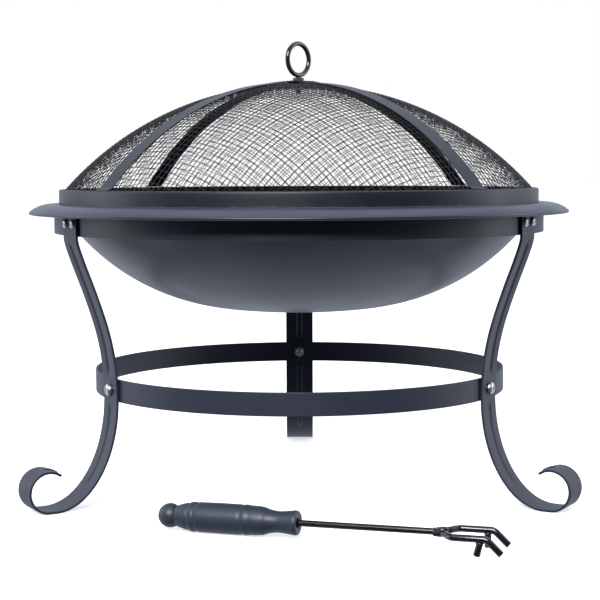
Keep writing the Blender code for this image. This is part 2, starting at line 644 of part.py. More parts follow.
def add_poker(axis, grip_paint, black):
    pitch = math.asin((FORK_HEIGHT - GRIP_RADIUS) / (ROD_END + SPUR_AT - GRIP_WIDEST))
    base = GRIP_RADIUS - GRIP_WIDEST * math.sin(pitch) + GAP
    frame = add_empty("frame_poker", (POKER_START[0], POKER_START[1], base),
                      (0.0, -pitch, math.radians(POKER_YAW)), axis)
    grip = add_object("poker_grip", turned_mesh("poker_grip", grip_outline(), False, steps=16),
                      grip_paint, frame)
    grip.rotation_euler = (0.0, math.radians(90), 0.0)
    add_rod("poker_rod", (GRIP_LENGTH - SOCKET_DEPTH, 0, 0), (ROD_END, 0, 0), ROD_RADIUS, (0, 0, 1),
            black, frame, sides=12)
    for name, side in (("rear", 1), ("front", -1)):
        mesh = swept_mesh("poker_tine_" + name, tine_path(side), round_section(TINE_RADIUS, 8),
                          side=(0, 0, 1))
        add_object("poker_tine_" + name, mesh, black, frame)
        across = side * TINE_SPREAD
        under = -TINE_RADIUS - GAP
        lean = SPUR_LEAN[name]
        tilt = TINE_RADIUS * lean / FORK_HEIGHT     # how far a leaning spur's end stands out
        add_rod("poker_spur_" + name, (ROD_END + SPUR_AT, across, under - tilt),
                (ROD_END + SPUR_AT - lean, across, GAP + tilt - FORK_HEIGHT), TINE_RADIUS, (1, 0, 0),
                black, frame)


def main():
    clear_scene()
    steel = paint("black_coated_steel", (0.022, 0.023, 0.027), 0.48, 0.35)
    wire = paint("black_wire_mesh", (0.015, 0.015, 0.018), 0.50, 0.40)
    zinc = paint("zinc_plated_steel", (0.55, 0.56, 0.58), 0.30, 1.0)
    iron = paint("bare_black_iron", (0.020, 0.019, 0.018), 0.60, 0.60)
    grip_paint = paint("satin_black_grip", (0.045, 0.048, 0.060), 0.45, 0.0)
    black = paint("gloss_black_rod", (0.018, 0.018, 0.022), 0.25, 0.30)
    axis = add_empty("pit_axis", location=(0.0, AXIS_Y, 0.0))
    add_stand(axis, steel, zinc)
    wall = add_bowl(axis, steel)
    add_lid(axis, steel, wire, zinc)
    add_grate(axis, iron, wall)
    add_poker(axis, grip_paint, black)


main()
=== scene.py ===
"""Round fire pit: a strip-steel stand, a dished bowl, a wire-mesh spark lid, a log grate and a poker.

Laid out as a Blender add-on: the sizes and finishes are properties, each piece or group of like pieces
has an operator, and a panel in the 3D view's sidebar lists them. Metres, +Z up. Shapes are worked out
round the pit's own upright axis and then moved to where the frame has it.
"""

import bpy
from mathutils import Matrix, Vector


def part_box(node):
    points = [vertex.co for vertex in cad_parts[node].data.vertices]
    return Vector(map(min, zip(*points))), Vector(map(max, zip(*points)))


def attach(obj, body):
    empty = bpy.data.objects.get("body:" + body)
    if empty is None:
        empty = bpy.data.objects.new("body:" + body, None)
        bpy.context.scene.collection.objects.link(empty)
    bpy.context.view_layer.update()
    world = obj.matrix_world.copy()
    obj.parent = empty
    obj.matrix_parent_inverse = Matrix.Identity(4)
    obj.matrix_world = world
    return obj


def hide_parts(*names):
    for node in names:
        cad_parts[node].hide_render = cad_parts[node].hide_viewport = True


bl_info = {
    "name": "Round Fire Pit",
    "version": (1, 0, 0),
    "blender": (4, 5, 0),
    "location": "3D View > Sidebar > Fire Pit",
    "description": "Builds a round steel fire pit with its stand, bowl, spark lid, grate and poker",
    "category": "Add Mesh",
}

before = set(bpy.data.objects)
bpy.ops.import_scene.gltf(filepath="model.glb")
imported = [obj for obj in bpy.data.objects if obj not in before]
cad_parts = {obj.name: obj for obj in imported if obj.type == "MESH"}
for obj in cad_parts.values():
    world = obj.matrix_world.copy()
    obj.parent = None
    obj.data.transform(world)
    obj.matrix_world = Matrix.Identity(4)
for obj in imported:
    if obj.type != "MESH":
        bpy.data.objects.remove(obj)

import math

import bmesh
import bpy
from bpy.props import FloatProperty, FloatVectorProperty, IntProperty, PointerProperty
from mathutils import Matrix, Vector

GAP = 0.0003                    # between pieces that touch
LEGS = {"front_right": -30.0, "front_left": 210.0, "rear": 90.0}
TOP_PLACES = ("top_a", "top_b")
MILLIMETRE = 0.001
ROD_CHAMFER = 0.0003            # at the ends of the grate's and the poker's rods
BARE_STEEL = "#5B5C5F"          # what shows where paint is rubbed off
RUST = "#4A362B"
WORN_WOOD = "#6A6C72"


# ---------------------------------------------------------------- reading the frame
def low(node):
    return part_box(node)[0]


def high(node):
    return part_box(node)[1]


def middle(node):
    return (low(node) + high(node)) / 2


def half_width(node):
    return (high(node).x - low(node).x) / 2


def half_height(node):
    return (high(node).z - low(node).z) / 2


AXIS = middle("lid_band")
AXIS.z = 0.0


def corners(node):
    """The node's corners, seen from the foot of the pit's axis."""
    return [vertex.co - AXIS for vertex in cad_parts[node].data.vertices]


def outward(azimuth):
    angle = math.radians(azimuth)
    return Vector((math.cos(angle), math.sin(angle), 0.0))


def reach(node, direction):
    """The least and the most that a node reaches along a direction from the pit's axis."""
    along = [corner.dot(direction) for corner in corners(node)]
    return min(along), max(along)


def rod_ends(node):
    """The middles of a straight rod's two ends."""
    points = corners(node)
    first = min(points, key=lambda point: point.x)
    last = max(points, key=lambda point: point.x)
    groups = ([], [])
    for point in points:
        groups[(point - first).length > (point - last).length].append(point)
    return [sum(group, Vector()) / len(group) for group in groups]


# ---------------------------------------------------------------- outlines
def arc(centre, radius, start, end, steps):
    """Points on a circle from one angle to another, in degrees."""
    points = []
    for index in range(steps + 1):
        angle = math.radians(start + (end - start) * index / steps)
        points.append((centre[0] + radius * math.cos(angle), centre[1] + radius * math.sin(angle)))
    return points


def arc_to(start, slope, end, steps):
    """Arc that leaves start at a slope (radians) and ends at a point: its points and last slope."""
    across = end[0] - start[0]
    along = end[1] - start[1]
    normal = (-math.sin(slope), math.cos(slope))
    radius = (across ** 2 + along ** 2) / (2 * (across * normal[0] + along * normal[1]))
    sweep = 2 * (math.atan2(along, across) - slope)
    centre = (start[0] + normal[0] * radius, start[1] + normal[1] * radius)
    points = []
    for index in range(1, steps + 1):
        angle = slope + sweep * index / steps
        points.append((centre[0] + radius * math.sin(angle), centre[1] - radius * math.cos(angle)))
    return points, slope + sweep


def dish(crown_radius, crown_edge, end, steps):
    """Rise of a dish from its middle: a spherical crown, then an arc to the end point."""
    edge_slope = math.asin(crown_edge / crown_radius)
    crown = []
    for index in range(steps[0] + 1):
        slope = edge_slope * index / steps[0]
        crown.append((crown_radius * math.sin(slope), crown_radius * (1 - math.cos(slope))))
    side, end_slope = arc_to(crown[-1], edge_slope, end, steps[1])
    return crown + side, end_slope


def bezier(start, pull_start, pull_end, end, steps):
    """Points of a cubic curve after its start."""
    points = []
    for index in range(1, steps + 1):
        t = index / steps
        s = 1 - t
        weights = (s ** 3, 3 * s * s * t, 3 * s * t * t, t ** 3)
        pulls = (start, pull_start, pull_end, end)
        points.append(tuple(sum(w * p[axis] for w, p in zip(weights, pulls)) for axis in (0, 1)))
    return points


def offset(points, distance):
    """An open outline moved to its left; a point on the axis stays on the axis."""
    moved = []
    for index, point in enumerate(points):
        here = Vector(point)
        before = Vector(points[max(index - 1, 0)])
        after = Vector(points[min(index + 1, len(points) - 1)])
        first = (here - before).normalized() if index > 0 else (after - here).normalized()
        last = (after - here).normalized() if index < len(points) - 1 else first
        along = (first + last).normalized()
        shift = Vector((-along.y, along.x)) * distance / max(along.dot(first), 0.3)
        if point[0] < 1e-9:
            shift = Vector((0.0, distance))
        moved.append((here.x + shift.x, here.y + shift.y))
    return moved


def soften(points, radius, steps=3, guard=0.0):
    """A closed outline with its corners rounded, and a guard point on each side of a corner."""
    softened = []
    for index, point in enumerate(points):
        here = Vector(point)
        before = Vector(points[index - 1]) - here
        after = Vector(points[(index + 1) % len(points)]) - here
        turn = before.angle(after)
        run = min(radius / math.tan(turn / 2), before.length * 0.45, after.length * 0.45)
        start = here + before.normalized() * run
        end = here + after.normalized() * run
        if guard and before.length > 2 * (run + guard):
            softened.append(tuple(here + before.normalized() * (run + guard)))
        for step in range(steps + 1):
            t = step / steps
            softened.append(tuple(start * (1 - t) ** 2 + here * 2 * t * (1 - t) + end * t ** 2))
        if guard and after.length > 2 * (run + guard):
            softened.append(tuple(here + after.normalized() * (run + guard)))
    return softened


def ease(share):
    """Smooth step from 0 to 1."""
    share = min(max(share, 0.0), 1.0)
    return share * share * (3 - 2 * share)


# ---------------------------------------------------------------- meshes
def as_mesh(name, shape):
    mesh = bpy.data.meshes.new(name)
    shape.to_mesh(mesh)
    shape.free()
    return mesh


def show(name, data):
    """A new object in the scene's own collection."""
    item = bpy.data.objects.new(name, data)
    bpy.context.scene.collection.objects.link(item)
    return item


def finish_mesh(name, shape, sharp=40.0, worn=1.0):
    """A mesh from a bmesh: faces out, smooth where it is round, and its edges marked for wear."""
    bmesh.ops.remove_doubles(shape, verts=shape.verts, dist=1e-6)
    bmesh.ops.recalc_face_normals(shape, faces=shape.faces)
    wear = []
    for vert in shape.verts:
        fold = max((edge.calc_face_angle(0.0) for edge in vert.link_edges), default=0.0)
        wear.append(worn * ease((math.degrees(fold) - 9.0) / 16.0))
    mesh = as_mesh(name, shape)
    mesh.attributes.new("edge", "FLOAT", "POINT").data.foreach_set("value", wear)
    mesh.shade_smooth()
    mesh.set_sharp_from_angle(angle=math.radians(sharp))
    return mesh


def turned(outline, closed, steps):
    """An outline of (radius, height) points spun about Z, as a bmesh."""
    shape = bmesh.new()
    verts = [shape.verts.new((radius, 0.0, height)) for radius, height in outline]
    edges = [shape.edges.new(pair) for pair in zip(verts, verts[1:])]
    if closed:
        edges.append(shape.edges.new((verts[-1], verts[0])))
    bmesh.ops.spin(shape, geom=verts + edges, axis=(0, 0, 1), cent=(0, 0, 0), angle=math.tau,
                   steps=steps, use_merge=True)
    return shape


def swept(path, sections, side, closed=False):
    """Sections of (sideways, upward) points carried along a path; side is roughly sideways."""
    shape = bmesh.new()
    rings = []
    count = len(path)
    for index, point in enumerate(path):
        before = path[(index - 1) % count if closed else max(index - 1, 0)]
        after = path[(index + 1) % count if closed else min(index + 1, count - 1)]
        along = (Vector(after) - Vector(before)).normalized()
        upward = along.cross(Vector(side)).normalized()
        across = upward.cross(along)
        section = sections(index / (count - 1)) if callable(sections) else sections
        rings.append([shape.verts.new(Vector(point) + across * a + upward * b) for a, b in section])
    links = list(zip(rings, rings[1:]))
    if closed:
        links.append((rings[-1], rings[0]))
    for ring, following in links:
        for index in range(len(ring)):
            other = (index + 1) % len(ring)
            shape.faces.new((ring[index], ring[other], following[other], following[index]))
    if not closed:
        shape.faces.new(rings[0])
        shape.faces.new(rings[-1])
    return shape


def circle(radius, sides):
    return arc((0.0, 0.0), radius, 0.0, 360.0, sides)[:-1]


def rod(start, end, radius, sides, side):
    """A straight round rod with a small chamfer at each end."""
    start = Vector(start)
    end = Vector(end)
    chamfer = (end - start).normalized() * ROD_CHAMFER
    body = circle(radius, sides)
    tip = circle(radius - ROD_CHAMFER, sides)
    path = [start, start + chamfer, end - chamfer, end]
    return swept(path, lambda place: body if 0 < round(place * 3) < 3 else tip, side)


def cut_away(mesh, cutter):
    """The mesh with a cutter's shape taken out of it."""
    work = show("work", mesh)
    tool = show("tool", cutter)
    modifier = work.modifiers.new("cut", "BOOLEAN")
    modifier.object = tool
    bpy.context.view_layer.update()
    cut = bpy.data.meshes.new_from_object(work.evaluated_get(bpy.context.evaluated_depsgraph_get()))
    for item in (work, tool):
        bpy.data.objects.remove(item)
    return cut


def place(name, mesh, material, body, nodes, slot):
    """A finished piece: on the pit's axis, riding its body, standing for its nodes."""
    mesh.transform(Matrix.Translation(AXIS))
    mesh.materials.clear()
    mesh.materials.append(material)
    piece = show(name, mesh)
    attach(piece, body)
    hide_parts(*nodes)
    return piece


# ---------------------------------------------------------------- nodes
def feed(tree, node, feeds):
    """Feeds a node's inputs from values, from other nodes, or from other nodes' sockets."""
    for key, value in feeds.items():
        if isinstance(value, bpy.types.Node):
            value = value.outputs[0]
        if isinstance(value, bpy.types.NodeSocket):
            tree.links.new(value, node.inputs[key])
        else:
            node.inputs[key].default_value = value


def add(tree, kind, feeds=None, **settings):
    """Adds a node, sets its properties and feeds its inputs."""
    node = tree.nodes.new(kind)
    for name, value in settings.items():
        setattr(node, name, value)
    feed(tree, node, feeds or {})
    return node


def maths(tree, operation, first, second=0.0):
    return add(tree, "ShaderNodeMath", {0: first, 1: second}, operation=operation)


def read(tree, name, kind):
    """The value of a point's own attribute."""
    return add(tree, "GeometryNodeInputNamedAttribute", {"Name": name}, data_type=kind).outputs["Attribute"]


def note(tree, geometry, name, value, kind):
    """The geometry with a value noted on each of its points."""
    return add(tree, "GeometryNodeStoreNamedAttribute", {"Geometry": geometry, "Name": name, "Value": value},
               data_type=kind, domain="POINT")


def row_of_points(tree, count, start, step):
    """Points in a row; start and step are given by their X, Y and Z parts."""
    return add(tree, "GeometryNodeMeshLine", {"Count": count,
                                              "Start Location": add(tree, "ShaderNodeCombineXYZ", start),
                                              "Offset": add(tree, "ShaderNodeCombineXYZ", step)})


def round_wires(tree, lines, radius, sides):
    """Round wires along lines, with closed ends."""
    section = add(tree, "GeometryNodeCurvePrimitiveCircle", {"Resolution": sides, "Radius": radius})
    return add(tree, "GeometryNodeCurveToMesh", {"Curve": lines, "Profile Curve": section,
                                                 "Fill Caps": True})


def new_tree(name, inputs):
    """A Geometry Nodes tree with a geometry input and output and the named inputs."""
    tree = bpy.data.node_groups.new(name, "GeometryNodeTree")
    tree.interface.new_socket("Geometry", in_out="INPUT", socket_type="NodeSocketGeometry")
    tree.interface.new_socket("Geometry", in_out="OUTPUT", socket_type="NodeSocketGeometry")
    for label, kind in inputs.items():
        tree.interface.new_socket(label, in_out="INPUT", socket_type="NodeSocket" + kind)
    return tree, add(tree, "NodeGroupInput").outputs


def end_tree(tree, geometry, material):
    """Every tree ends in real geometry with its material on it."""
    solid = add(tree, "GeometryNodeRealizeInstances", {"Geometry": geometry})
    smooth = add(tree, "GeometryNodeSetShadeSmooth", {"Geometry": solid})
    coated = add(tree, "GeometryNodeSetMaterial", {"Geometry": smooth, "Material": material})
    add(tree, "NodeGroupOutput", {"Geometry": coated})


def grow(name, tree, base, values):
    """Runs a tree on a mesh and returns the result as a plain mesh."""
    carrier = show(name, base)
    modifier = carrier.modifiers.new("nodes", "NODES")
    modifier.node_group = tree
    for socket in tree.interface.items_tree:
        if socket.in_out == "INPUT" and socket.name in values:
            modifier[socket.identifier] = values[socket.name]
    bpy.context.view_layer.update()
    graph = bpy.context.evaluated_depsgraph_get()
    mesh = bpy.data.meshes.new_from_object(carrier.evaluated_get(graph))
    mesh.name = name
    carrier.modifiers.remove(modifier)
    bpy.data.objects.remove(carrier)
    return mesh


def copies_tree():
    """A tree that sets a piece on every point, turned and sized as the point's own attributes say."""
    tree, given = new_tree("copies_on_points", {"Piece": "Object", "Finish": "Material"})
    piece = add(tree, "GeometryNodeObjectInfo", {"Object": given["Piece"]})
    spin = add(tree, "FunctionNodeEulerToRotation", {"Euler": read(tree, "turn", "FLOAT_VECTOR")})
    laid = add(tree, "GeometryNodeInstanceOnPoints",
               {"Points": given["Geometry"], "Instance": piece.outputs["Geometry"], "Rotation": spin,
                "Scale": read(tree, "size", "FLOAT_VECTOR")})
    end_tree(tree, laid, given["Finish"])
    return tree


def copies(name, mesh, spots, material):
    """Copies of a mesh at (point, turn, size) spots, as one mesh that keeps its sharp edges."""
    base = bpy.data.meshes.new(name + "_spots")
    base.from_pydata([spot[0] for spot in spots], [], [])
    for label, column in (("turn", 1), ("size", 2)):
        values = [number for spot in spots for number in spot[column]]
        base.attributes.new(label, "FLOAT_VECTOR", "POINT").data.foreach_set("vector", values)
    pattern = show(name + "_pattern", mesh)
    result = grow(name, copies_tree(), base, {"Piece": pattern, "Finish": material})
    bpy.data.objects.remove(pattern)
    return result


def woven_tree():
    """A tree that lays one direction of a plain weave over a surface: wires that go over and under.

    The wires start flat and level, are dropped straight down on the surface, lifted off it by their
    crimp, and cut off where the surface ends.
    """
    tree, given = new_tree("woven_wires", {"Pitch": "Float", "Wire": "Float", "Reach": "Float",
                                           "Bearing": "Float", "Wires": "Int", "Steps": "Int",
                                           "Sides": "Int", "Side up": "Float", "Finish": "Material"})
    pitch = given["Pitch"]
    start = maths(tree, "MULTIPLY", given["Reach"], -1.0)
    row = row_of_points(tree, given["Wires"], {"X": start}, {"X": pitch})
    wire = row_of_points(tree, given["Steps"], {"Y": start}, {"Y": maths(tree, "DIVIDE", pitch, 2.0)})
    laid = add(tree, "GeometryNodeInstanceOnPoints", {"Points": row, "Instance": wire})
    flat = add(tree, "GeometryNodeRealizeInstances", {"Geometry": laid})
    here = add(tree, "GeometryNodeInputPosition")
    parts = add(tree, "ShaderNodeSeparateXYZ", {0: here}).outputs
    both = maths(tree, "ADD", maths(tree, "DIVIDE", parts["X"], pitch),
                 maths(tree, "DIVIDE", parts["Y"], pitch))
    wave = maths(tree, "COSINE", maths(tree, "MULTIPLY", both, math.pi))
    lift = maths(tree, "MULTIPLY", maths(tree, "MULTIPLY", wave, given["Wire"]), given["Side up"])
    turned_place = add(tree, "ShaderNodeVectorRotate", {"Vector": here, "Angle": given["Bearing"]},
                       rotation_type="Z_AXIS")
    spun = add(tree, "GeometryNodeSetPosition", {"Geometry": note(tree, flat, "lift", lift, "FLOAT"),
                                                 "Position": turned_place})
    above = add(tree, "ShaderNodeVectorMath", {0: here, 1: (0.0, 0.0, 1.0)}, operation="ADD")
    drop = add(tree, "GeometryNodeRaycast", {"Target Geometry": given["Geometry"], "Source Position": above,
                                             "Ray Direction": (0.0, 0.0, -1.0), "Ray Length": 2.0}).outputs
    crimp = add(tree, "ShaderNodeVectorMath", {0: drop["Hit Normal"], "Scale": read(tree, "lift", "FLOAT")},
                operation="SCALE")
    landed = add(tree, "ShaderNodeVectorMath", {0: drop["Hit Position"], 1: crimp}, operation="ADD")
    missed = add(tree, "FunctionNodeBooleanMath", {0: drop["Is Hit"]}, operation="NOT")
    draped = add(tree, "GeometryNodeSetPosition", {"Geometry": note(tree, spun, "missed", missed, "BOOLEAN"),
                                                   "Position": landed})
    trimmed = add(tree, "GeometryNodeDeleteGeometry", {"Geometry": draped,
                                                       "Selection": read(tree, "missed", "BOOLEAN")})
    lines = add(tree, "GeometryNodeMeshToCurve", {"Mesh": trimmed})
    radius = maths(tree, "DIVIDE", given["Wire"], 2.0)
    end_tree(tree, round_wires(tree, lines, radius, given["Sides"]), given["Finish"])
    return tree


def bars_tree():
    """A tree that lays level round bars side by side across a hoop, each as long as the hoop allows."""
    tree, given = new_tree("bars_across_hoop", {"Radius": "Float", "Pitch": "Float", "Bars": "Int",
                                                "Rod": "Float", "Level": "Float", "Sides": "Int",
                                                "Finish": "Material"})
    spans = maths(tree, "SUBTRACT", given["Bars"], 1.0)
    first = maths(tree, "MULTIPLY", maths(tree, "MULTIPLY", spans, given["Pitch"]), -0.5)
    row = row_of_points(tree, given["Bars"], {"Y": first, "Z": given["Level"]}, {"Y": given["Pitch"]})
    across = add(tree, "ShaderNodeSeparateXYZ", {0: add(tree, "GeometryNodeInputPosition")}).outputs["Y"]
    left = maths(tree, "SUBTRACT", maths(tree, "POWER", given["Radius"], 2.0),
                 maths(tree, "POWER", across, 2.0))
    size = add(tree, "ShaderNodeCombineXYZ", {"X": maths(tree, "SQRT", left), "Y": 1.0, "Z": 1.0})
    unit = add(tree, "GeometryNodeCurvePrimitiveLine", {"Start": (-1.0, 0.0, 0.0), "End": (1.0, 0.0, 0.0)})
    laid = add(tree, "GeometryNodeInstanceOnPoints", {"Points": row, "Instance": unit, "Scale": size})
    lines = add(tree, "GeometryNodeRealizeInstances", {"Geometry": laid})
    end_tree(tree, round_wires(tree, lines, given["Rod"], given["Sides"]), given["Finish"])
    return tree


# ---------------------------------------------------------------- finishes
def linear(hex_colour):
    """An sRGB hex colour as linear red, green and blue."""
    values = []
    for index in (1, 3, 5):
        share = int(hex_colour[index:index + 2], 16) / 255
        values.append(share / 12.92 if share <= 0.04045 else ((share + 0.055) / 1.055) ** 2.4)
    return tuple(values)


def shade(colour, factor=1.0):
    return (*(min(channel * factor, 1.0) for channel in colour), 1.0)


def new_material(name):
    material = bpy.data.materials.new(name)
    material.use_nodes = True
    tree = material.node_tree
    spot = add(tree, "ShaderNodeTexCoord").outputs["Object"]
    return material, tree, tree.nodes["Principled BSDF"], spot


def noise(tree, spot, size, detail=2.0, roughness=0.5):
    """Noise with lumps of about that size in millimetres."""
    return add(tree, "ShaderNodeTexNoise", {"Vector": spot, "Scale": 1 / (size * MILLIMETRE),
                                            "Detail": detail, "Roughness": roughness})


def blend(tree, share, first, second):
    return add(tree, "ShaderNodeMix", {0: share, 6: first, 7: second}, data_type="RGBA").outputs[2]


def spread(tree, value, least, most, start=0.0, full=1.0):
    """The value's run from start to full, spread from least to most."""
    return add(tree, "ShaderNodeMapRange", {"Value": value, "From Min": start, "From Max": full,
                                            "To Min": least, "To Max": most})


def relief(tree, height, strength, depth):
    """A bumpy surface, its depth in millimetres."""
    return add(tree, "ShaderNodeBump", {"Height": height, "Strength": strength,
                                        "Distance": depth * MILLIMETRE})


def rubbed_edges(tree, grain, most, start, full):
    """How far the paint is rubbed off along the mesh's own marked edges, broken up by a grain."""
    edge = add(tree, "ShaderNodeAttribute", attribute_name="edge").outputs["Fac"]
    return spread(tree, maths(tree, "MULTIPLY", edge, grain), 0.0, most, start, full)


def sprayed_paint(name, colour, roughness, coat=0.0, rub=0.55):
    """Heat-resistant silicone paint sprayed on steel: satin, finely pebbled, rubbed thin on the edges."""
    material, tree, shader, spot = new_material(name)
    cloud = noise(tree, spot, 70, 5.0)
    body = blend(tree, cloud, shade(colour, 0.82), shade(colour, 1.20))
    rubbed = noise(tree, spot, 9, 6.0, 0.7)
    wear = rubbed_edges(tree, rubbed, rub, 0.42, 0.66)
    dust = spread(tree, rubbed, 0.0, 0.10, 0.60, 0.80)
    coloured = blend(tree, maths(tree, "MAXIMUM", wear, dust), body, shade(linear(BARE_STEEL)))
    feed(tree, shader, {"Base Color": coloured,
                        "Roughness": spread(tree, cloud, roughness - 0.04, roughness + 0.05, 0.3, 0.7),
                        "Normal": relief(tree, noise(tree, spot, 1.6), 0.22, 0.25),
                        "Coat Weight": coat, "Coat Roughness": 0.12})
    return material


def zinc_plate(name, colour, roughness):
    """Bright zinc plate on steel screws: silvery, faintly clouded, with fine turning marks."""
    material, tree, shader, spot = new_material(name)
    cloud = noise(tree, spot, 3, 4.0)
    feed(tree, shader, {"Base Color": blend(tree, cloud, shade(colour, 0.72), shade(colour, 1.1)),
                        "Roughness": spread(tree, cloud, roughness - 0.08, roughness + 0.14),
                        "Normal": relief(tree, noise(tree, spot, 0.5, 3.0), 0.15, 0.08), "Metallic": 1.0})
    return material


def mill_scale_iron(name, colour, roughness):
    """Hot-rolled iron rod with its mill scale left on: near black, blotched brown, dull and rough."""
    material, tree, shader, spot = new_material(name)
    blotch = noise(tree, spot, 14, 7.0, 0.65)
    rust = spread(tree, blotch, 0.0, 0.55, 0.52, 0.72)
    feed(tree, shader, {"Base Color": blend(tree, rust, shade(colour), shade(linear(RUST))),
                        "Roughness": spread(tree, blotch, roughness - 0.1, roughness + 0.2, 0.35, 0.7),
                        "Normal": relief(tree, noise(tree, spot, 1.2, 5.0), 0.45, 0.2), "Metallic": 0.6})
    return material


def painted_wood(name, colour, roughness, along):
    """Turned beech under one coat of satin black paint: the long grain still shows as faint ridges."""
    material, tree, shader, spot = new_material(name)
    turn = Vector(along).to_track_quat("X", "Z").to_euler()
    lined_up = add(tree, "ShaderNodeMapping", {"Vector": spot, "Rotation": tuple(turn)},
                   vector_type="TEXTURE")
    stretched = add(tree, "ShaderNodeMapping", {"Vector": lined_up, "Scale": (0.06, 1.0, 1.0)})
    grain = noise(tree, stretched, 1.1, 4.0, 0.6)
    tone = blend(tree, noise(tree, spot, 18, 4.0), shade(colour, 0.82), shade(colour, 1.2))
    wear = rubbed_edges(tree, grain, 0.3, 0.4, 0.7)
    feed(tree, shader, {"Base Color": blend(tree, wear, tone, shade(linear(WORN_WOOD))),
                        "Roughness": spread(tree, grain, roughness - 0.05, roughness + 0.08),
                        "Normal": relief(tree, grain, 0.35, 0.15)})
    return material


def length(name, description, default):
    return FloatProperty(name=name, description=description, default=default, min=0.0001,
                         unit="LENGTH", precision=5)


def angle(name, description, degrees):
    return FloatProperty(name=name, description=description, default=math.radians(degrees),
                         subtype="ANGLE")


def share(name, description, default):
    return FloatProperty(name=name, description=description, default=default, min=0.0, max=1.0,
                         subtype="FACTOR")


def colour(name, description, hex_colour):
    return FloatVectorProperty(name=name, description=description, default=linear(hex_colour), size=3,
                               subtype="COLOR", min=0.0, max=1.0)


# ---------------------------------------------------------------- what a user would change
class FirePitStand(bpy.types.PropertyGroup):
    """Sizes of the stand"""
    ring_sheet: length("Ring sheet", "Thickness of the two rings' strip", 0.0020)
    leg_width: length("Leg width", "Width of a leg's strip", 0.0318)
    leg_thick: length("Leg thickness", "Thickness of a leg's strip", 0.0025)
    edge_round: length("Edge rounding", "Radius on the strips' sawn edges", 0.00045)
    bend_drop: length("Bend drop", "Straight run of a leg below the upper ring", 0.0020)
    waist_drop: length("Waist drop", "A leg's waist below the middle of the lower ring", 0.0080)
    foot_radius: length("Foot radius", "Pit axis to the middle of a foot's scroll", 0.2880)
    foot_flat: length("Foot flat", "Flat run of a foot before its scroll", 0.0060)
    scroll_radius: length("Scroll radius", "Inside of a foot's scroll", 0.0210)
    scroll_turn: angle("Scroll turn", "How far a foot curls", 217)
    groove_width: length("Groove width", "Width of the groove pressed along a leg", 0.0080)
    groove_depth: length("Groove depth", "Depth of that groove", 0.0011)
    groove_fade: length("Groove fade", "Run over which the groove starts or stops", 0.0070)
    groove_wall: length("Groove wall", "Width of the groove's sloping side", 0.0022)
    groove_top_clear: length("Groove top", "Groove's start below the upper ring", 0.0040)
    groove_ring_clear: length("Groove gap", "Groove's end above and below the lower ring", 0.0045)
    groove_foot_clear: length("Groove foot", "Groove's end above the floor", 0.0170)
    shoulder_out: share("Shoulder out", "Leg's shoulder, as a share of its lean from waist to bend", 0.63)
    shoulder_up: share("Shoulder up", "Leg's shoulder, as a share of the height from waist to bend", 0.73)
    upper_pull: share("Upper pull", "How far a leg's upper curve holds its direction", 0.16)
    middle_pull: share("Middle pull", "How far a leg's middle curve holds its direction", 0.40)


class FirePitFasteners(bpy.types.PropertyGroup):
    """Sizes of the screws and nuts"""
    top_radius: length("Top screw", "Radius of the two screws at a leg's top", 0.0025)
    top_head: length("Top screw head", "Radius of its pan head", 0.0047)
    top_rise: length("Top screw rise", "Height of its pan head", 0.0030)
    top_nut: length("Top nut", "Across the flats of its nut", 0.0080)
    ring_radius: length("Ring screw", "Radius of the screw through the lower ring", 0.0030)
    ring_head: length("Ring screw head", "Radius of its pan head", 0.0062)
    ring_rise: length("Ring screw rise", "Height of its pan head", 0.0040)
    ring_nut: length("Ring nut", "Across the flats of its nut", 0.0100)
    thread_pitch: length("Thread pitch", "Distance from thread to thread", 0.0008)


class FirePitBowl(bpy.types.PropertyGroup):
    """Sizes of the bowl"""
    sheet: length("Sheet", "Thickness of the bowl's sheet", 0.0012)
    rim_flat: length("Rim flat", "Level part of the flange outside the lid", 0.0088)
    rim_drop: length("Rim drop", "Fall of the flange to its rolled edge", 0.0078)
    roll_radius: length("Roll", "Radius of the rolled edge", 0.0016)
    crown_radius: length("Crown radius", "Radius of the bowl's round middle", 0.6856)
    crown_edge: length("Crown edge", "Where the middle meets the side", 0.0841)
    shoulder_rise: length("Shoulder rise", "Shoulder above the upper ring's lower edge", 0.0045)
    shoulder_inset: length("Shoulder inset", "Shoulder inside the neck", 0.0065)
    neck_inset: length("Neck inset", "Neck inside the lid band", 0.0085)
    flange_bend: length("Flange bend", "Radius where the neck turns out to the flange", 0.0020)


class FirePitLid(bpy.types.PropertyGroup):
    """Sizes of the spark lid"""
    sheet: length("Sheet", "Thickness of the lid's band", 0.0012)
    lip: length("Lip", "Width of the band's inward lip", 0.0038)
    crown_radius: length("Crown radius", "Radius of the dome's middle", 0.3400)
    crown_edge: length("Crown edge", "Where the middle meets the side", 0.0400)
    pitch: length("Mesh pitch", "From wire to wire", 0.0058)
    wire: length("Mesh wire", "Diameter of the mesh's wire", 0.00068)
    bearing: angle("Mesh bearing", "How far the weave is turned", 45)
    strap_width: length("Strap width", "Width of the two crossed straps", 0.0200)
    strap_thick: length("Strap thickness", "Thickness of the straps", 0.0012)
    strap_end_inset: length("Strap end", "Strap's end inside the band", 0.0020)
    cross_flat: length("Cross flat", "Level middle of a strap, from the axis", 0.0130)
    cross_ramp: length("Cross ramp", "Run over which the upper strap comes down", 0.0300)
    lower_bearing: angle("Lower strap", "Bearing of the lower strap", -46.5)
    upper_bearing: angle("Upper strap", "Bearing of the upper strap", 41.0)
    ring_bearing: angle("Ring", "Bearing of the ring handle's plane", 47.5)
    ring_wire: length("Ring wire", "Radius of the ring handle's rod", 0.0025)
    shank: length("Shank", "Radius of the ring handle's threaded shank", 0.0025)
    boss_across: length("Boss", "Across the flats of the boss under the ring", 0.0100)
    nut_across: length("Nut", "Across the flats of the nut inside the lid", 0.0080)


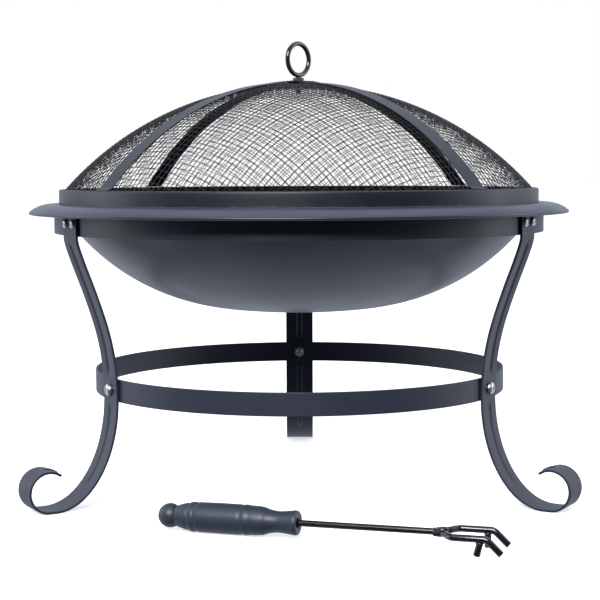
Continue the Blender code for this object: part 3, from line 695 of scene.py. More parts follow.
class FirePitGrate(bpy.types.PropertyGroup):
    """Sizes of the log grate"""
    rod: length("Rod", "Radius of the grate's rods", 0.0030)
    bars: IntProperty(name="Bars", description="Number of cross bars", default=9, min=1)
    weld: length("Weld bead", "Radius of a weld bead", 0.0026)


class FirePitPoker(bpy.types.PropertyGroup):
    """Sizes of the poker"""
    grip_radius: length("Grip", "Largest radius of the grip", 0.0140)
    ball_radius: length("Ball", "Radius of the grip's ball", 0.0113)
    groove_depth: length("Grip groove", "Depth of the grip's turned grooves", 0.0008)
    groove_half: length("Grip groove half width", "Half the width of a groove", 0.0013)
    tine_radius: length("Tine", "Radius of a tine", 0.0031)
    tine_spread: length("Tine spread", "Tine from the poker's middle", 0.0181)
    tine_overlap: length("Tine overlap", "Run of a tine beside the rod", 0.0085)
    splay_end: length("Splay", "Where a tine runs straight again, past the rod", 0.0120)
    bend_at: length("Bend", "Where a tine turns down, past the rod", 0.0370)
    bend_radius: length("Bend radius", "Radius of that turn", 0.0080)
    bend_angle: angle("Bend angle", "How far a tine turns down", 43.5)
    tip: length("Tip", "Straight run of a tine after its bend", 0.0150)


class FirePitFinishes(bpy.types.PropertyGroup):
    """Colours and gloss of the finishes"""
    stand: colour("Stand", "Paint on the rings and legs", "#262B3A")
    bowl: colour("Bowl", "Paint on the bowl", "#222838")
    lid: colour("Lid", "Paint on the lid's band, straps and ring", "#121722")
    wire: colour("Mesh", "Paint on the mesh's wires", "#141519")
    zinc: colour("Zinc", "Plate on the screws and nuts", "#C9CCD0")
    iron: colour("Grate", "Bare iron of the grate", "#2B2927")
    poker: colour("Poker", "Paint on the poker's rod and tines", "#121317")
    grip: colour("Grip", "Paint on the poker's grip", "#2D3442")
    floor: colour("Floor", "Studio floor", "#F4F4F4")
    satin: share("Satin", "Roughness of the satin paint", 0.46)


def finish(kind):
    """The finish of that name, made once."""
    found = bpy.data.materials.get(kind)
    if found:
        return found
    looks = bpy.context.scene.fire_pit_finishes
    if kind == "satin_black_paint_on_strip_steel":
        return sprayed_paint(kind, looks.stand, looks.satin + 0.02)
    if kind == "satin_black_paint_on_drawn_bowl":
        return sprayed_paint(kind, looks.bowl, looks.satin - 0.08, rub=0.35)
    if kind == "satin_black_paint_on_rolled_band":
        return sprayed_paint(kind, looks.lid, looks.satin - 0.02, rub=0.40)
    if kind == "black_paint_on_woven_wire":
        return sprayed_paint(kind, looks.wire, 0.50, rub=0.0)
    if kind == "gloss_black_enamel_on_rod":
        return sprayed_paint(kind, looks.poker, 0.20, coat=0.6, rub=0.45)
    if kind == "bright_zinc_plate":
        return zinc_plate(kind, looks.zinc, 0.30)
    if kind == "mill_scale_iron":
        return mill_scale_iron(kind, looks.iron, 0.52)
    return painted_wood(kind, looks.grip, 0.42, poker_frame().col[0].xyz)


# ---------------------------------------------------------------- shapes of the stand
def ring_shape(node, sheet, edge):
    """A ring of strip steel standing on edge, its sawn edges rounded."""
    outer = half_width(node)
    bottom = low(node).z
    top = high(node).z
    outline = [(outer - sheet, bottom), (outer, bottom), (outer, top), (outer - sheet, top)]
    return turned(soften(outline, edge, guard=2 * edge), True, 192)


def leg_path(stand):
    """The leg's inner face from its top down to the scroll's tip, as (out, up) points."""
    top_out = half_width("upper_ring") + GAP
    waist = (half_width("lower_ring") + GAP, middle("lower_ring").z - stand.waist_drop)
    bend = (top_out, low("upper_ring").z - stand.bend_drop)
    lean_out = bend[0] - waist[0]
    lean_up = bend[1] - waist[1]
    shoulder = (waist[0] + stand.shoulder_out * lean_out, waist[1] + stand.shoulder_up * lean_up)
    slant = Vector((lean_out * 1.5, lean_up)).normalized()
    above = stand.upper_pull * (bend[1] - shoulder[1])
    below = stand.middle_pull * (shoulder[1] - waist[1])
    foot = (stand.foot_radius - stand.foot_flat, 0.0)
    top = high("leg_rear").z
    path = [(top_out, top + (bend[1] - top) * index / 8) for index in range(9)]
    path += bezier(bend, (bend[0], bend[1] - above),
                   (shoulder[0] + slant.x * above, shoulder[1] + slant.y * above), shoulder, 22)
    path += bezier(shoulder, (shoulder[0] - slant.x * below, shoulder[1] - slant.y * below),
                   (waist[0], waist[1] + below), waist, 44)
    path += bezier(waist, (waist[0], waist[1] * 0.45),
                   (foot[0] - (foot[0] - waist[0]) * 0.55, 0.0), foot, 52)
    path += arc((stand.foot_radius, stand.scroll_radius), stand.scroll_radius, -90.0,
                -90.0 + math.degrees(stand.scroll_turn), 60)
    return path


def groove_share(height, out, stand):
    """How deep the groove is there: it leaves the leg flat at both rings and at the foot."""
    fade = stand.groove_fade
    ring_clear = half_height("lower_ring") + stand.groove_ring_clear
    below_top = ease((low("upper_ring").z - stand.groove_top_clear - height) / fade)
    off_ring = ease((abs(height - middle("lower_ring").z) - ring_clear + fade / 2) / fade)
    above_foot = ease((height - stand.groove_foot_clear) / (1.5 * fade)) if out < stand.foot_radius else 0.0
    return below_top * off_ring * above_foot


def leg_shape(stand):
    """A leg of strip steel with a groove pressed along it, lying in the X-Z plane."""
    path = leg_path(stand)
    half = stand.leg_width / 2
    thick = stand.leg_thick
    stations = [stand.groove_width / 2 * step / 8 for step in range(-8, 9)]
    corners_of_strip = [(-half, 0.0), (half, 0.0), (half, thick), (-half, thick)]
    rounded = soften(corners_of_strip, stand.edge_round, guard=2 * stand.edge_round)
    section = rounded[:5] + [(x, 0.0) for x in stations] + rounded[5:15]
    section += [(x, thick) for x in reversed(stations)] + rounded[15:]

    def grooved(place):
        out, height = path[round(place * (len(path) - 1))]
        depth = stand.groove_depth * groove_share(height, out, stand)
        return [(a, b - depth * ease((stand.groove_width / 2 - abs(a)) / stand.groove_wall))
                for a, b in section]

    return swept([(out, 0.0, up) for out, up in path], grooved, (0, 1, 0))


# ---------------------------------------------------------------- shapes of the fasteners
def threaded(radius, start, end, pitch):
    """The outline of a threaded shank between two heights, going down."""
    turns = max(int((start - end) / pitch), 1)
    depth = 0.30 * pitch
    outline = [(radius, start)]
    for index in range(turns):
        outline += [(radius, start - pitch * (index + 0.25)),
                    (radius - depth, start - pitch * (index + 0.5)),
                    (radius, start - pitch * (index + 0.75))]
    outline += [(radius, end + depth), (radius - depth, end), (0.0, end)]
    return outline


def screw_head(radius, rise, shank, length_below, thread_from, pitch):
    """A pan-head screw with a cross recess: its head rises from Z = 0 and its shank goes down."""
    crown = arc((0.0, 0.0), 1.0, 90.0, 12.0, 9)
    outline = [(radius * x ** 0.8 if x > 1e-9 else 0.0, rise * y ** 0.75) for x, y in crown]
    outline += [(radius, 0.0), (shank, 0.0), (shank, -thread_from)]
    outline += threaded(shank, -thread_from, -length_below, pitch)[1:]
    head = finish_mesh("screw", turned(outline, False, 24))
    cross = bmesh.new()
    arm = 0.60 * radius
    web = 0.15 * radius
    plan = [(arm, -web), (arm, web), (web, web), (web, arm), (-web, arm), (-web, web), (-arm, web),
            (-arm, -web), (-web, -web), (-web, -arm), (web, -arm), (web, -web)]
    upper = [cross.verts.new((x, y, 1.5 * rise)) for x, y in plan]
    lower = [cross.verts.new((x * 0.45, y * 0.8, 0.35 * rise)) if abs(x) > abs(y)
             else cross.verts.new((x * 0.8, y * 0.45, 0.35 * rise)) for x, y in plan]
    cross.faces.new(upper)
    cross.faces.new(reversed(lower))
    for index in range(12):
        other = (index + 1) % 12
        cross.faces.new((upper[index], lower[index], lower[other], upper[other]))
    bmesh.ops.recalc_face_normals(cross, faces=cross.faces)
    return cut_away(head, as_mesh("recess", cross))


def hex_nut(across, hole, thickness):
    """A hexagon nut standing up from Z = 0, its corners turned off to arcs."""
    shape = bmesh.new()
    flat = across / 2
    face = flat * 0.97
    slope = math.tan(math.radians(30))
    rings = []
    for side, level in ((0, 0.0), (1, thickness)):
        bore, edge, turned_off = [], [], []
        for index in range(48):
            angle = math.radians(7.5 * index)
            sector = math.radians((7.5 * index) % 60 - 30)
            corner = flat / math.cos(sector)
            fall = max(corner - face, 0.0) * slope
            height = level - fall if side else level + fall
            direction = Vector((math.cos(angle), math.sin(angle), 0.0))
            edge.append(shape.verts.new(direction * corner + Vector((0, 0, height))))
            turned_off.append(shape.verts.new(direction * face + Vector((0, 0, level))))
            bore.append(shape.verts.new(direction * hole + Vector((0, 0, level))))
        rings.append((bore, turned_off, edge))
    strips = [(rings[0][0], rings[0][1]), (rings[0][1], rings[0][2]), (rings[0][2], rings[1][2]),
              (rings[1][2], rings[1][1]), (rings[1][1], rings[1][0]), (rings[1][0], rings[0][0])]
    for first, second in strips:
        for index in range(48):
            other = (index + 1) % 48
            shape.faces.new((first[index], first[other], second[other], second[index]))
    return finish_mesh("nut", shape, sharp=25.0)


# ---------------------------------------------------------------- shapes of the bowl and lid
def bowl_shape(bowl):
    """The drawn bowl: a dished middle, a short neck, and a flange that falls to a rolled edge."""
    ring_bottom = low("upper_ring").z
    under = high("upper_ring").z + GAP
    rim = half_width("bowl")
    lid = half_width("lid_band")
    bottom = low("bowl").z
    neck = lid - bowl.neck_inset
    shoulder = (neck - bowl.shoulder_inset, ring_bottom - bottom + bowl.shoulder_rise)
    points, slope = dish(bowl.crown_radius, bowl.crown_edge, shoulder, (14, 40))
    radius = bowl.shoulder_inset / (1 - math.sin(slope))
    centre = (neck - radius, shoulder[1] + radius * math.cos(slope))
    points += arc(centre, radius, math.degrees(slope) - 90.0, 0.0, 8)[1:]
    points = [(out, up + bottom) for out, up in points]
    bend = (neck + bowl.flange_bend, under - bowl.flange_bend)
    points += arc(bend, bowl.flange_bend, 180.0, 90.0, 6)
    flat_end = lid + bowl.rim_flat
    run = rim - flat_end
    steepest = 2 * math.atan(bowl.rim_drop / run)
    fall_run = run - bowl.roll_radius * (1 - math.sin(steepest))
    fall_radius = (fall_run ** 2 + bowl.rim_drop ** 2) / (2 * bowl.rim_drop)
    fall_angle = math.degrees(math.asin(fall_run / fall_radius))
    inner_radius = fall_radius - bowl.sheet
    centre = (flat_end, under - inner_radius)
    points += arc(centre, inner_radius, 90.0, 90.0 - fall_angle, 12)
    top = offset(points, bowl.sheet)
    start = 90.0 - fall_angle
    hub_reach = fall_radius - bowl.roll_radius
    hub = (centre[0] + hub_reach * math.cos(math.radians(start)),
           centre[1] + hub_reach * math.sin(math.radians(start)))
    roll = arc(hub, bowl.roll_radius, start, -100.0, 9)
    return turned(points + list(reversed(top + roll[1:])), False, 240)


def dome_outline(lid, steps):
    """The mesh dome's outer face from its crown to the lip, as (radius, height) points."""
    top = high("lid_mesh").z
    lip_inner = half_width("lid_band") - lid.lip
    lip_under = high("lid_band").z - lid.sheet - GAP
    edge = (lip_inner - lid.sheet, top - lip_under)
    points, _ = dish(lid.crown_radius, lid.crown_edge, edge, steps)
    return [(radius, top - fall) for radius, fall in points]


def mesh_guide(lid):
    """The middle of the woven mesh: the dome, cut out for the shank and run on under the lip."""
    outer = dome_outline(lid, (16, 40))
    skirt = half_width("lid_mesh")
    outer.append((skirt, outer[-1][1] - (skirt - outer[-1][0]) * 0.85))
    middle = offset(outer, -lid.wire)
    middle[0] = (lid.shank + 2 * GAP + lid.wire, middle[0][1])
    shape = turned(middle, False, 240)
    bmesh.ops.remove_doubles(shape, verts=shape.verts, dist=1e-6)
    bmesh.ops.recalc_face_normals(shape, faces=shape.faces)
    if sum(face.normal.z for face in shape.faces) < 0:
        bmesh.ops.reverse_faces(shape, faces=shape.faces)
    return as_mesh("guide", shape)


def strap_shape(lid, raise_by, hole):
    """A strap across the dome: level where the two cross, its ends flat on the band's lip."""
    rest = high("lid_band").z + GAP
    level = high("lid_mesh").z + GAP + raise_by
    half = [(lid.cross_flat * share_along / 4, level) for share_along in range(5)]
    for radius, height in dome_outline(lid, (16, 34)):
        if radius <= lid.cross_flat * 1.05:
            continue
        lift = raise_by * ease((lid.cross_flat + lid.cross_ramp - radius) / lid.cross_ramp)
        half.append((radius, height + GAP + lift))
    half = [point for point in half if point[1] > rest + lid.strap_thick]
    band = half_width("lid_band")
    heel = (band - lid.lip - lid.strap_thick, rest)
    toe = (band - lid.strap_end_inset, rest)
    last = half[-1]
    half += bezier(last, (last[0] + (heel[0] - last[0]) * 0.6, last[1] + (heel[1] - last[1]) * 0.9), heel,
                   (heel[0] + 0.003, rest), 5)
    half += [toe]
    path = [(-radius, 0.0, height) for radius, height in reversed(half[1:])]
    path += [(radius, 0.0, height) for radius, height in half]
    wide = lid.strap_width / 2
    section = [(-wide, 0.0), (wide, 0.0), (wide, lid.strap_thick), (-wide, lid.strap_thick)]
    shape = swept(path, soften(section, 0.0003, guard=0.0008), (0, 1, 0))
    strap = finish_mesh("strap", shape)
    drill = bmesh.new()
    turn = Matrix.Rotation(math.pi / 32, 4, "Z")
    bmesh.ops.create_cone(drill, cap_ends=True, segments=32, radius1=hole, radius2=hole,
                          depth=20 * lid.strap_thick, matrix=Matrix.Translation((0, 0, level)) @ turn)
    return cut_away(strap, as_mesh("drill", drill))


# ---------------------------------------------------------------- shapes of the poker
def poker_frame():
    """The poker's own frame: X from the grip's ball end to the fork, Y to its rear side."""
    start, end = rod_ends("poker_rod")
    along = (end - start).normalized()
    side = Vector((0, 0, 1)).cross(along).normalized()
    ball = min((corner - start).dot(along) for corner in corners("poker_grip"))
    place_of = Matrix((along, side, along.cross(side))).transposed().to_4x4()
    place_of.translation = start + along * ball
    return place_of


def grip_outline(poker, grip_length, bore, socket):
    """The turned grip from its ball to its socket, as (radius, along) points."""
    wide = poker.grip_radius
    ball = poker.ball_radius
    neck = 1.45 * ball
    marks = [(0.60 * wide, neck), (0.66 * wide, neck + 0.0012), (0.79 * wide, neck + 0.0065),
             (0.95 * wide, 0.0330), (0.985 * wide, 0.0430), (wide, 0.0660),
             (0.99 * wide, grip_length - 0.0530), (0.93 * wide, grip_length - 0.0350),
             (0.78 * wide, grip_length - 0.0275), (0.70 * wide, grip_length - 0.0190),
             (0.75 * wide, grip_length - 0.0100), (0.81 * wide, grip_length - 0.0035)]
    body = smooth_through(marks, 10)
    turned_bands = []
    for radius, along in body:
        for groove in (0.0305, 0.0385, grip_length - 0.0535, grip_length - 0.0445):
            away = abs(along - groove) / poker.groove_half
            radius -= poker.groove_depth * ease(1 - away)
        for bead in (0.0345, grip_length - 0.0490):
            away = abs(along - bead) / 0.0035
            radius += 0.35 * poker.groove_depth * ease(1 - away)
        turned_bands.append((radius, along))
    points = arc((0.0, ball), ball, -90.0, 32.0, 24)
    points[0] = (0.0, 0.0)
    points += turned_bands
    points += [(0.79 * wide, grip_length - 0.0012), (0.72 * wide, grip_length - 0.0002),
               (0.60 * wide, grip_length), (bore + 0.0018, grip_length - 0.0010),
               (bore + 0.0006, grip_length - 0.0035), (bore, grip_length - 0.0050),
               (bore, grip_length - socket), (0.0, grip_length - socket)]
    return points


def smooth_through(marks, steps):
    """A smooth line through marks that keeps between them: no overshoot where the grip swells."""
    points = []
    for index in range(len(marks) - 1):
        before = Vector(marks[max(index - 1, 0)])
        first = Vector(marks[index])
        last = Vector(marks[index + 1])
        after = Vector(marks[min(index + 2, len(marks) - 1)])
        for step in range(steps):
            t = step / steps
            points.append(tuple(0.5 * (2 * first + (last - before) * t
                                       + (2 * before - 5 * first + 4 * last - after) * t * t
                                       + (3 * first - before - 3 * last + after) * t ** 3)))
    points.append(marks[-1])
    return points


def tine_path(poker, side, rod_end, rod_radius):
    """A tine's centreline in the poker's frame: beside the rod, out, forward and down."""
    beside = side * (rod_radius + GAP + poker.tine_radius)
    spread = side * poker.tine_spread
    start = (rod_end - 0.0025, beside)
    end = (rod_end + poker.splay_end, spread)
    pull = 0.45 * (end[0] - start[0])
    path = [(rod_end - poker.tine_overlap, beside, 0.0), (start[0], start[1], 0.0)]
    path += [(x, y, 0.0) for x, y in bezier(start, (start[0] + pull, start[1]),
                                            (end[0] - pull, end[1]), end, 16)]
    angle = math.degrees(poker.bend_angle)
    bend = arc((rod_end + poker.bend_at, -poker.bend_radius), poker.bend_radius, 90.0, 90.0 - angle, 10)
    path += [(x, spread, z) for x, z in bend]
    last = bend[-1]
    tip = (last[0] + poker.tip * math.cos(poker.bend_angle), spread,
           last[1] - poker.tip * math.sin(poker.bend_angle))
    path += [tuple(Vector((last[0], spread, last[1])).lerp(Vector(tip), 0.95)), tip]
    return path


def bead_mesh(radius, lumps):
    """A weld bead: a flattened drop with ripples, a few dozen faces."""
    shape = bmesh.new()
    bmesh.ops.create_icosphere(shape, subdivisions=2, radius=radius)
    for vert in shape.verts:
        ripple = 1 + lumps * math.sin(5.0 * vert.co.x / radius + 3.0 * vert.co.y / radius)
        vert.co *= ripple
    return finish_mesh("bead", shape, sharp=60.0, worn=0.0)


# ---------------------------------------------------------------- operators
class FIREPIT_OT_rings(bpy.types.Operator):
    """Builds the stand's upper and lower rings of strip steel"""
    bl_idname = "fire_pit.rings"
    bl_label = "Rings"

    def execute(self, context):
        stand = context.scene.fire_pit_stand
        for node in ("upper_ring", "lower_ring"):
            mesh = finish_mesh(node, ring_shape(node, stand.ring_sheet, stand.edge_round))
            place(node + "_strip", mesh, finish("satin_black_paint_on_strip_steel"), "stand", [node],
                  "stand_paint")
        return {"FINISHED"}


class FIREPIT_OT_legs(bpy.types.Operator):
    """Builds the three grooved and scrolled legs"""
    bl_idname = "fire_pit.legs"
    bl_label = "Legs"

    def execute(self, context):
        for name, azimuth in LEGS.items():
            mesh = finish_mesh("leg", leg_shape(context.scene.fire_pit_stand))
            mesh.transform(Matrix.Rotation(math.radians(azimuth), 4, "Z"))
            place("scrolled_leg_" + name, mesh, finish("satin_black_paint_on_strip_steel"), "stand",
                  ["leg_" + name], "stand_paint")
        return {"FINISHED"}


class FIREPIT_OT_fasteners(bpy.types.Operator):
    """Builds the stand's screws and nuts"""
    bl_idname = "fire_pit.fasteners"
    bl_label = "Screws and nuts"

    def execute(self, context):
        size = context.scene.fire_pit_fasteners
        kinds = (("top", TOP_PLACES, size.top_radius, size.top_head, size.top_rise, size.top_nut),
                 ("ring", ("ring",), size.ring_radius, size.ring_head, size.ring_rise, size.ring_nut))
        for kind, places, radius, head, rise, across in kinds:
            screws, nuts, spots, seats = [], [], [], []
            for leg, azimuth in LEGS.items():
                for index, spot in enumerate(places):
                    screw = "screw_%s_%s" % (spot, leg)
                    nut = "nut_%s_%s" % (spot, leg)
                    way = outward(azimuth)
                    side = outward(azimuth + 90.0)
                    tail, tip = reach(screw, way)
                    nut_in, nut_out = reach(nut, way)
                    aside = sum(reach(screw, side)) / 2
                    lined = side * aside + Vector((0, 0, middle(screw).z))
                    turn = math.radians(azimuth)
                    twist = math.radians(23 * index + azimuth / 3)
                    spots.append((way * (tip - rise) + lined, face_out(turn, twist), (1, 1, 1)))
                    seats.append((way * nut_in + lined, face_out(turn, twist * 2), (1, 1, 1)))
                    screws.append(screw)
                    nuts.append(nut)
            below = tip - rise - tail
            thread_from = tip - rise - nut_out - 3 * GAP
            screw_mesh = screw_head(head, rise, radius, below, thread_from, size.thread_pitch)
            nut_mesh = hex_nut(across, radius + GAP, nut_out - nut_in)
            zinc = finish("bright_zinc_plate")
            for label, mesh, where, nodes in (("screws", screw_mesh, spots, screws),
                                              ("nuts", nut_mesh, seats, nuts)):
                joined = copies(kind + "_" + label, mesh, where, zinc)
                place("%s_%s" % (kind, label), joined, zinc, "stand", nodes, "fasteners")
        return {"FINISHED"}


def face_out(azimuth, twist):
    """Angles that turn a piece's Z axis outward at an azimuth, after a twist about it."""
    turn = Matrix.Rotation(azimuth, 3, "Z") @ Matrix.Rotation(math.pi / 2, 3, "Y")
    return tuple((turn @ Matrix.Rotation(twist, 3, "Z")).to_euler())


class FIREPIT_OT_bowl(bpy.types.Operator):
    """Builds the drawn bowl with its flange and rolled edge"""
    bl_idname = "fire_pit.bowl"
    bl_label = "Bowl"

    def execute(self, context):
        mesh = finish_mesh("bowl", bowl_shape(context.scene.fire_pit_bowl), sharp=50.0)
        place("drawn_bowl", mesh, finish("satin_black_paint_on_drawn_bowl"), "bowl", ["bowl"], "bowl_paint")
        return {"FINISHED"}


class FIREPIT_OT_lid_band(bpy.types.Operator):
    """Builds the lid's band with its inward lip"""
    bl_idname = "fire_pit.lid_band"
    bl_label = "Lid band"

    def execute(self, context):
        lid = context.scene.fire_pit_lid
        outer = half_width("lid_band")
        bottom = low("lid_band").z
        top = high("lid_band").z
        inner = outer - lid.lip
        rise = top - bottom
        outline = [(outer - lid.sheet, bottom), (outer, bottom)]
        outline += arc((outer - 1.5 * lid.sheet, top - 1.5 * lid.sheet), 1.5 * lid.sheet, 0.0, 90.0, 6)
        outline += [(inner, top), (inner, top - lid.sheet)]
        outline += arc((outer - 1.5 * lid.sheet, top - 1.5 * lid.sheet), 0.5 * lid.sheet, 90.0, 0.0, 4)
        outline.insert(2, (outer, bottom + rise * 0.5))
        mesh = finish_mesh("lid_band", turned(outline, True, 240))
        place("lid_rim_band", mesh, finish("satin_black_paint_on_rolled_band"), "lid", ["lid_band"],
              "lid_paint")
        return {"FINISHED"}


class FIREPIT_OT_lid_mesh(bpy.types.Operator):
    """Weaves the lid's wire mesh over the dome"""
    bl_idname = "fire_pit.lid_mesh"
    bl_label = "Woven mesh"

    def execute(self, context):
        lid = context.scene.fire_pit_lid
        tree = woven_tree()
        side = math.floor(half_width("lid_mesh") / lid.pitch) + 1
        paint = finish("black_paint_on_woven_wire")
        for name, quarter, up in (("warp", 0.0, 0.5), ("weft", math.pi / 2, -0.5)):
            values = {"Pitch": lid.pitch, "Wire": lid.wire, "Reach": side * lid.pitch,
                      "Bearing": lid.bearing + quarter, "Wires": 2 * side + 1, "Steps": 4 * side + 1,
                      "Sides": 6, "Side up": up, "Finish": paint}
            mesh = grow("mesh_" + name, tree, mesh_guide(lid), values)
            place("mesh_%s_wires" % name, mesh, paint, "lid", ["lid_mesh"], "mesh_wire")
        return {"FINISHED"}


class FIREPIT_OT_straps(bpy.types.Operator):
    """Builds the two straps that cross over the dome"""
    bl_idname = "fire_pit.straps"
    bl_label = "Straps"

    def execute(self, context):
        lid = context.scene.fire_pit_lid
        step = lid.strap_thick + GAP
        bearings = {"lower": lid.lower_bearing, "upper": lid.upper_bearing}
        for index, (name, bearing) in enumerate(bearings.items()):
            mesh = strap_shape(lid, index * step, lid.shank + GAP)
            mesh.transform(Matrix.Rotation(bearing, 4, "Z"))
            place("dome_strap_" + name, mesh, finish("satin_black_paint_on_rolled_band"), "lid",
                  ["strap_" + name], "lid_paint")
        return {"FINISHED"}


class FIREPIT_OT_ring_handle(bpy.types.Operator):
    """Builds the lid's ring handle with its boss, washer and nut"""
    bl_idname = "fire_pit.ring_handle"
    bl_label = "Ring handle"

    def execute(self, context):
        lid = context.scene.fire_pit_lid
        thread = context.scene.fire_pit_fasteners.thread_pitch
        top = high("ring_handle").z
        ring_bottom = high("handle_boss").z + GAP
        radius = (top - ring_bottom) / 2
        centre = (0.0, ring_bottom + radius)
        path = [(out, 0.0, up) for out, up in arc(centre, radius - lid.ring_wire, -90.0, 270.0, 72)[:-1]]
        ring = swept(path, circle(lid.ring_wire, 16), (0, 1, 0), closed=True)
        start = ring_bottom + 0.4 * lid.ring_wire
        neck = [(0.0, start + 0.5 * lid.ring_wire), (lid.shank * 0.9, start + 0.5 * lid.ring_wire),
                (lid.shank * 1.25, start), (lid.shank, ring_bottom - GAP)]
        neck += threaded(lid.shank, low("handle_washer").z, low("ring_handle").z, thread)
        ring.from_mesh(as_mesh("shank", turned(neck, False, 24)))
        mesh = finish_mesh("ring_handle", ring, worn=0.0)
        mesh.transform(Matrix.Rotation(lid.ring_bearing, 4, "Z"))
        place("ring_pull", mesh, finish("gloss_black_enamel_on_rod"), "lid", ["ring_handle"], "lid_paint")
        hole = lid.shank + GAP
        for node, across, finish_name, slot in (
                ("handle_boss", lid.boss_across, "satin_black_paint_on_rolled_band", "lid_paint"),
                ("handle_nut", lid.nut_across, "bright_zinc_plate", "fasteners")):
            nut = hex_nut(across, hole, high(node).z - low(node).z)
            nut.transform(Matrix.Translation((0, 0, low(node).z)))
            place(node + "_hex", nut, finish(finish_name), "lid", [node], slot)
        outer = half_width("handle_washer")
        bottom = low("handle_washer").z
        upper = high("handle_washer").z
        outline = [(hole, bottom), (outer, bottom), (outer, upper), (hole, upper)]
        washer = finish_mesh("washer", turned(soften(outline, 0.0002), True, 48))
        place("handle_washer_disc", washer, finish("bright_zinc_plate"), "lid", ["handle_washer"],
              "fasteners")
        return {"FINISHED"}


class FIREPIT_OT_grate(bpy.types.Operator):
    """Builds the log grate: a hoop, two bearers, its bars and their weld beads"""
    bl_idname = "fire_pit.grate"
    bl_label = "Log grate"

    def execute(self, context):
        grate = context.scene.fire_pit_grate
        iron = finish("mill_scale_iron")
        radius = half_width("grate_hoop") - grate.rod
        level = low("grate_hoop").z + grate.rod
        path = [(x, y, level) for x, y in circle(radius, 160)]
        hoop = swept(path, circle(grate.rod, 12), (0, 0, 1), closed=True)
        place("grate_ring_rod", finish_mesh("hoop", hoop), iron, "grate", ["grate_hoop"], "grate_iron")
        welds = []
        for name in ("left", "right"):
            node = "grate_bearer_" + name
            out = middle(node).x
            half = (high(node).y - low(node).y) / 2
            bearer = rod((out, -half, level), (out, half, level), grate.rod, 14, (0, 0, 1))
            place(node + "_rod", finish_mesh(node, bearer), iron, "grate", [node], "grate_iron")
            welds += [((out, end, level + 0.4 * grate.rod), 1.15) for end in (-half, half)]
        bar_level = middle("grate_bar_1").z
        bar_nodes = ["grate_bar_%d" % (index + 1) for index in range(grate.bars)]
        rows = [middle(node).y - AXIS.y for node in bar_nodes]
        pitch = (rows[-1] - rows[0]) / (grate.bars - 1)
        values = {"Radius": radius, "Pitch": pitch, "Bars": grate.bars, "Rod": grate.rod,
                  "Level": bar_level, "Sides": 14, "Finish": iron}
        bars = grow("bars", bars_tree(), bpy.data.meshes.new("none"), values)
        place("grate_cross_bars", bars, iron, "grate", bar_nodes, "grate_iron")
        between = (bar_level + level) / 2
        bearer_out = middle("grate_bearer_right").x
        for row in rows:
            half = math.sqrt(radius ** 2 - row ** 2)
            for out in (-half, -bearer_out, bearer_out, half):
                welds.append(((out, row, between), 1.0))
        spots = [(point, (0.0, 0.0, 1.7 * index), (size, 1.1 * size, 0.55 * size))
                 for index, (point, size) in enumerate(welds)]
        beads = copies("beads", bead_mesh(grate.weld, 0.06), spots, iron)
        place("grate_weld_beads", beads, iron, "grate", ["grate_hoop"], "grate_iron")
        return {"FINISHED"}


class FIREPIT_OT_poker(bpy.types.Operator):
    """Builds the poker: a turned grip, a rod, two bent tines and two spurs"""
    bl_idname = "fire_pit.poker"
    bl_label = "Poker"

    def execute(self, context):
        poker = context.scene.fire_pit_poker
        enamel = finish("gloss_black_enamel_on_rod")
        lie = poker_frame()
        back = lie.inverted()
        grip = [back @ corner for corner in corners("poker_grip")]
        grip_length = max(point.x for point in grip)
        steel = [back @ corner for corner in corners("poker_rod")]
        rod_start = min(point.x for point in steel)
        rod_end = max(point.x for point in steel)
        rod_radius = max(math.hypot(point.y, point.z) for point in steel)
        outline = grip_outline(poker, grip_length, rod_radius + GAP, grip_length - rod_start + GAP)
        handle = finish_mesh("grip", turned(outline, False, 64))
        handle.transform(lie @ Matrix.Rotation(math.pi / 2, 4, "Y"))
        place("turned_grip", handle, finish("painted_turned_beech"), "poker", ["poker_grip"], "poker_grip")
        shaft = rod((rod_start, 0, 0), (rod_end, 0, 0), rod_radius, 24, (0, 0, 1))
        mesh = finish_mesh("shaft", shaft, worn=0.0)
        mesh.transform(lie)
        place("poker_shaft", mesh, enamel, "poker", ["poker_rod"], "poker_black")
        beads = [((rod_end - 0.001, 0.0, rod_radius * 0.75), (0.2, 0.0, 0.4), (1.6, 1.0, 0.8)),
                 ((rod_end - 0.006, 0.0, -rod_radius * 0.75), (0.0, 0.3, 0.9), (1.8, 1.0, 0.7))]
        for name, side in (("rear", 1), ("front", -1)):
            path = tine_path(poker, side, rod_end, rod_radius)
            last = len(path) - 1

            def tapered(share_along):
                tip = share_along > 1 - 0.5 / last or share_along < 0.5 / last
                return circle(poker.tine_radius * (0.9 if tip else 1.0), 18)

            tine = finish_mesh("tine", swept(path, tapered, (0, 0, 1)), worn=0.0)
            tine.transform(lie)
            place("poker_bent_tine_" + name, tine, enamel, "poker", ["poker_tine_" + name], "poker_black")
            spur = [back @ corner for corner in corners("poker_spur_" + name)]
            level = sum(point.z for point in spur) / len(spur)
            head, foot = (sum(end, Vector()) / len(end) for end in (
                [point for point in spur if point.z > level], [point for point in spur if point.z < level]))
            peg = rod(head, foot, poker.tine_radius, 18, (1, 0, 0))
            mesh = finish_mesh("spur", peg, worn=0.0)
            mesh.transform(lie)
            place("poker_peg_" + name, mesh, enamel, "poker", ["poker_spur_" + name], "poker_black")
            beads.append(((head.x, head.y, head.z + GAP), (0.0, 0.0, side), (1.2, 1.2, 0.5)))
            beads.append(((rod_end - 0.007, side * (rod_radius + GAP / 2), rod_radius * 0.45),
                          (0.3, 0.2, side), (2.2, 0.6, 0.6)))
        welds = copies("welds", bead_mesh(poker.tine_radius, 0.05), beads, enamel)
        welds.transform(lie)
        place("poker_weld_beads", welds, enamel, "poker", ["poker_rod"], "poker_black")
        return {"FINISHED"}


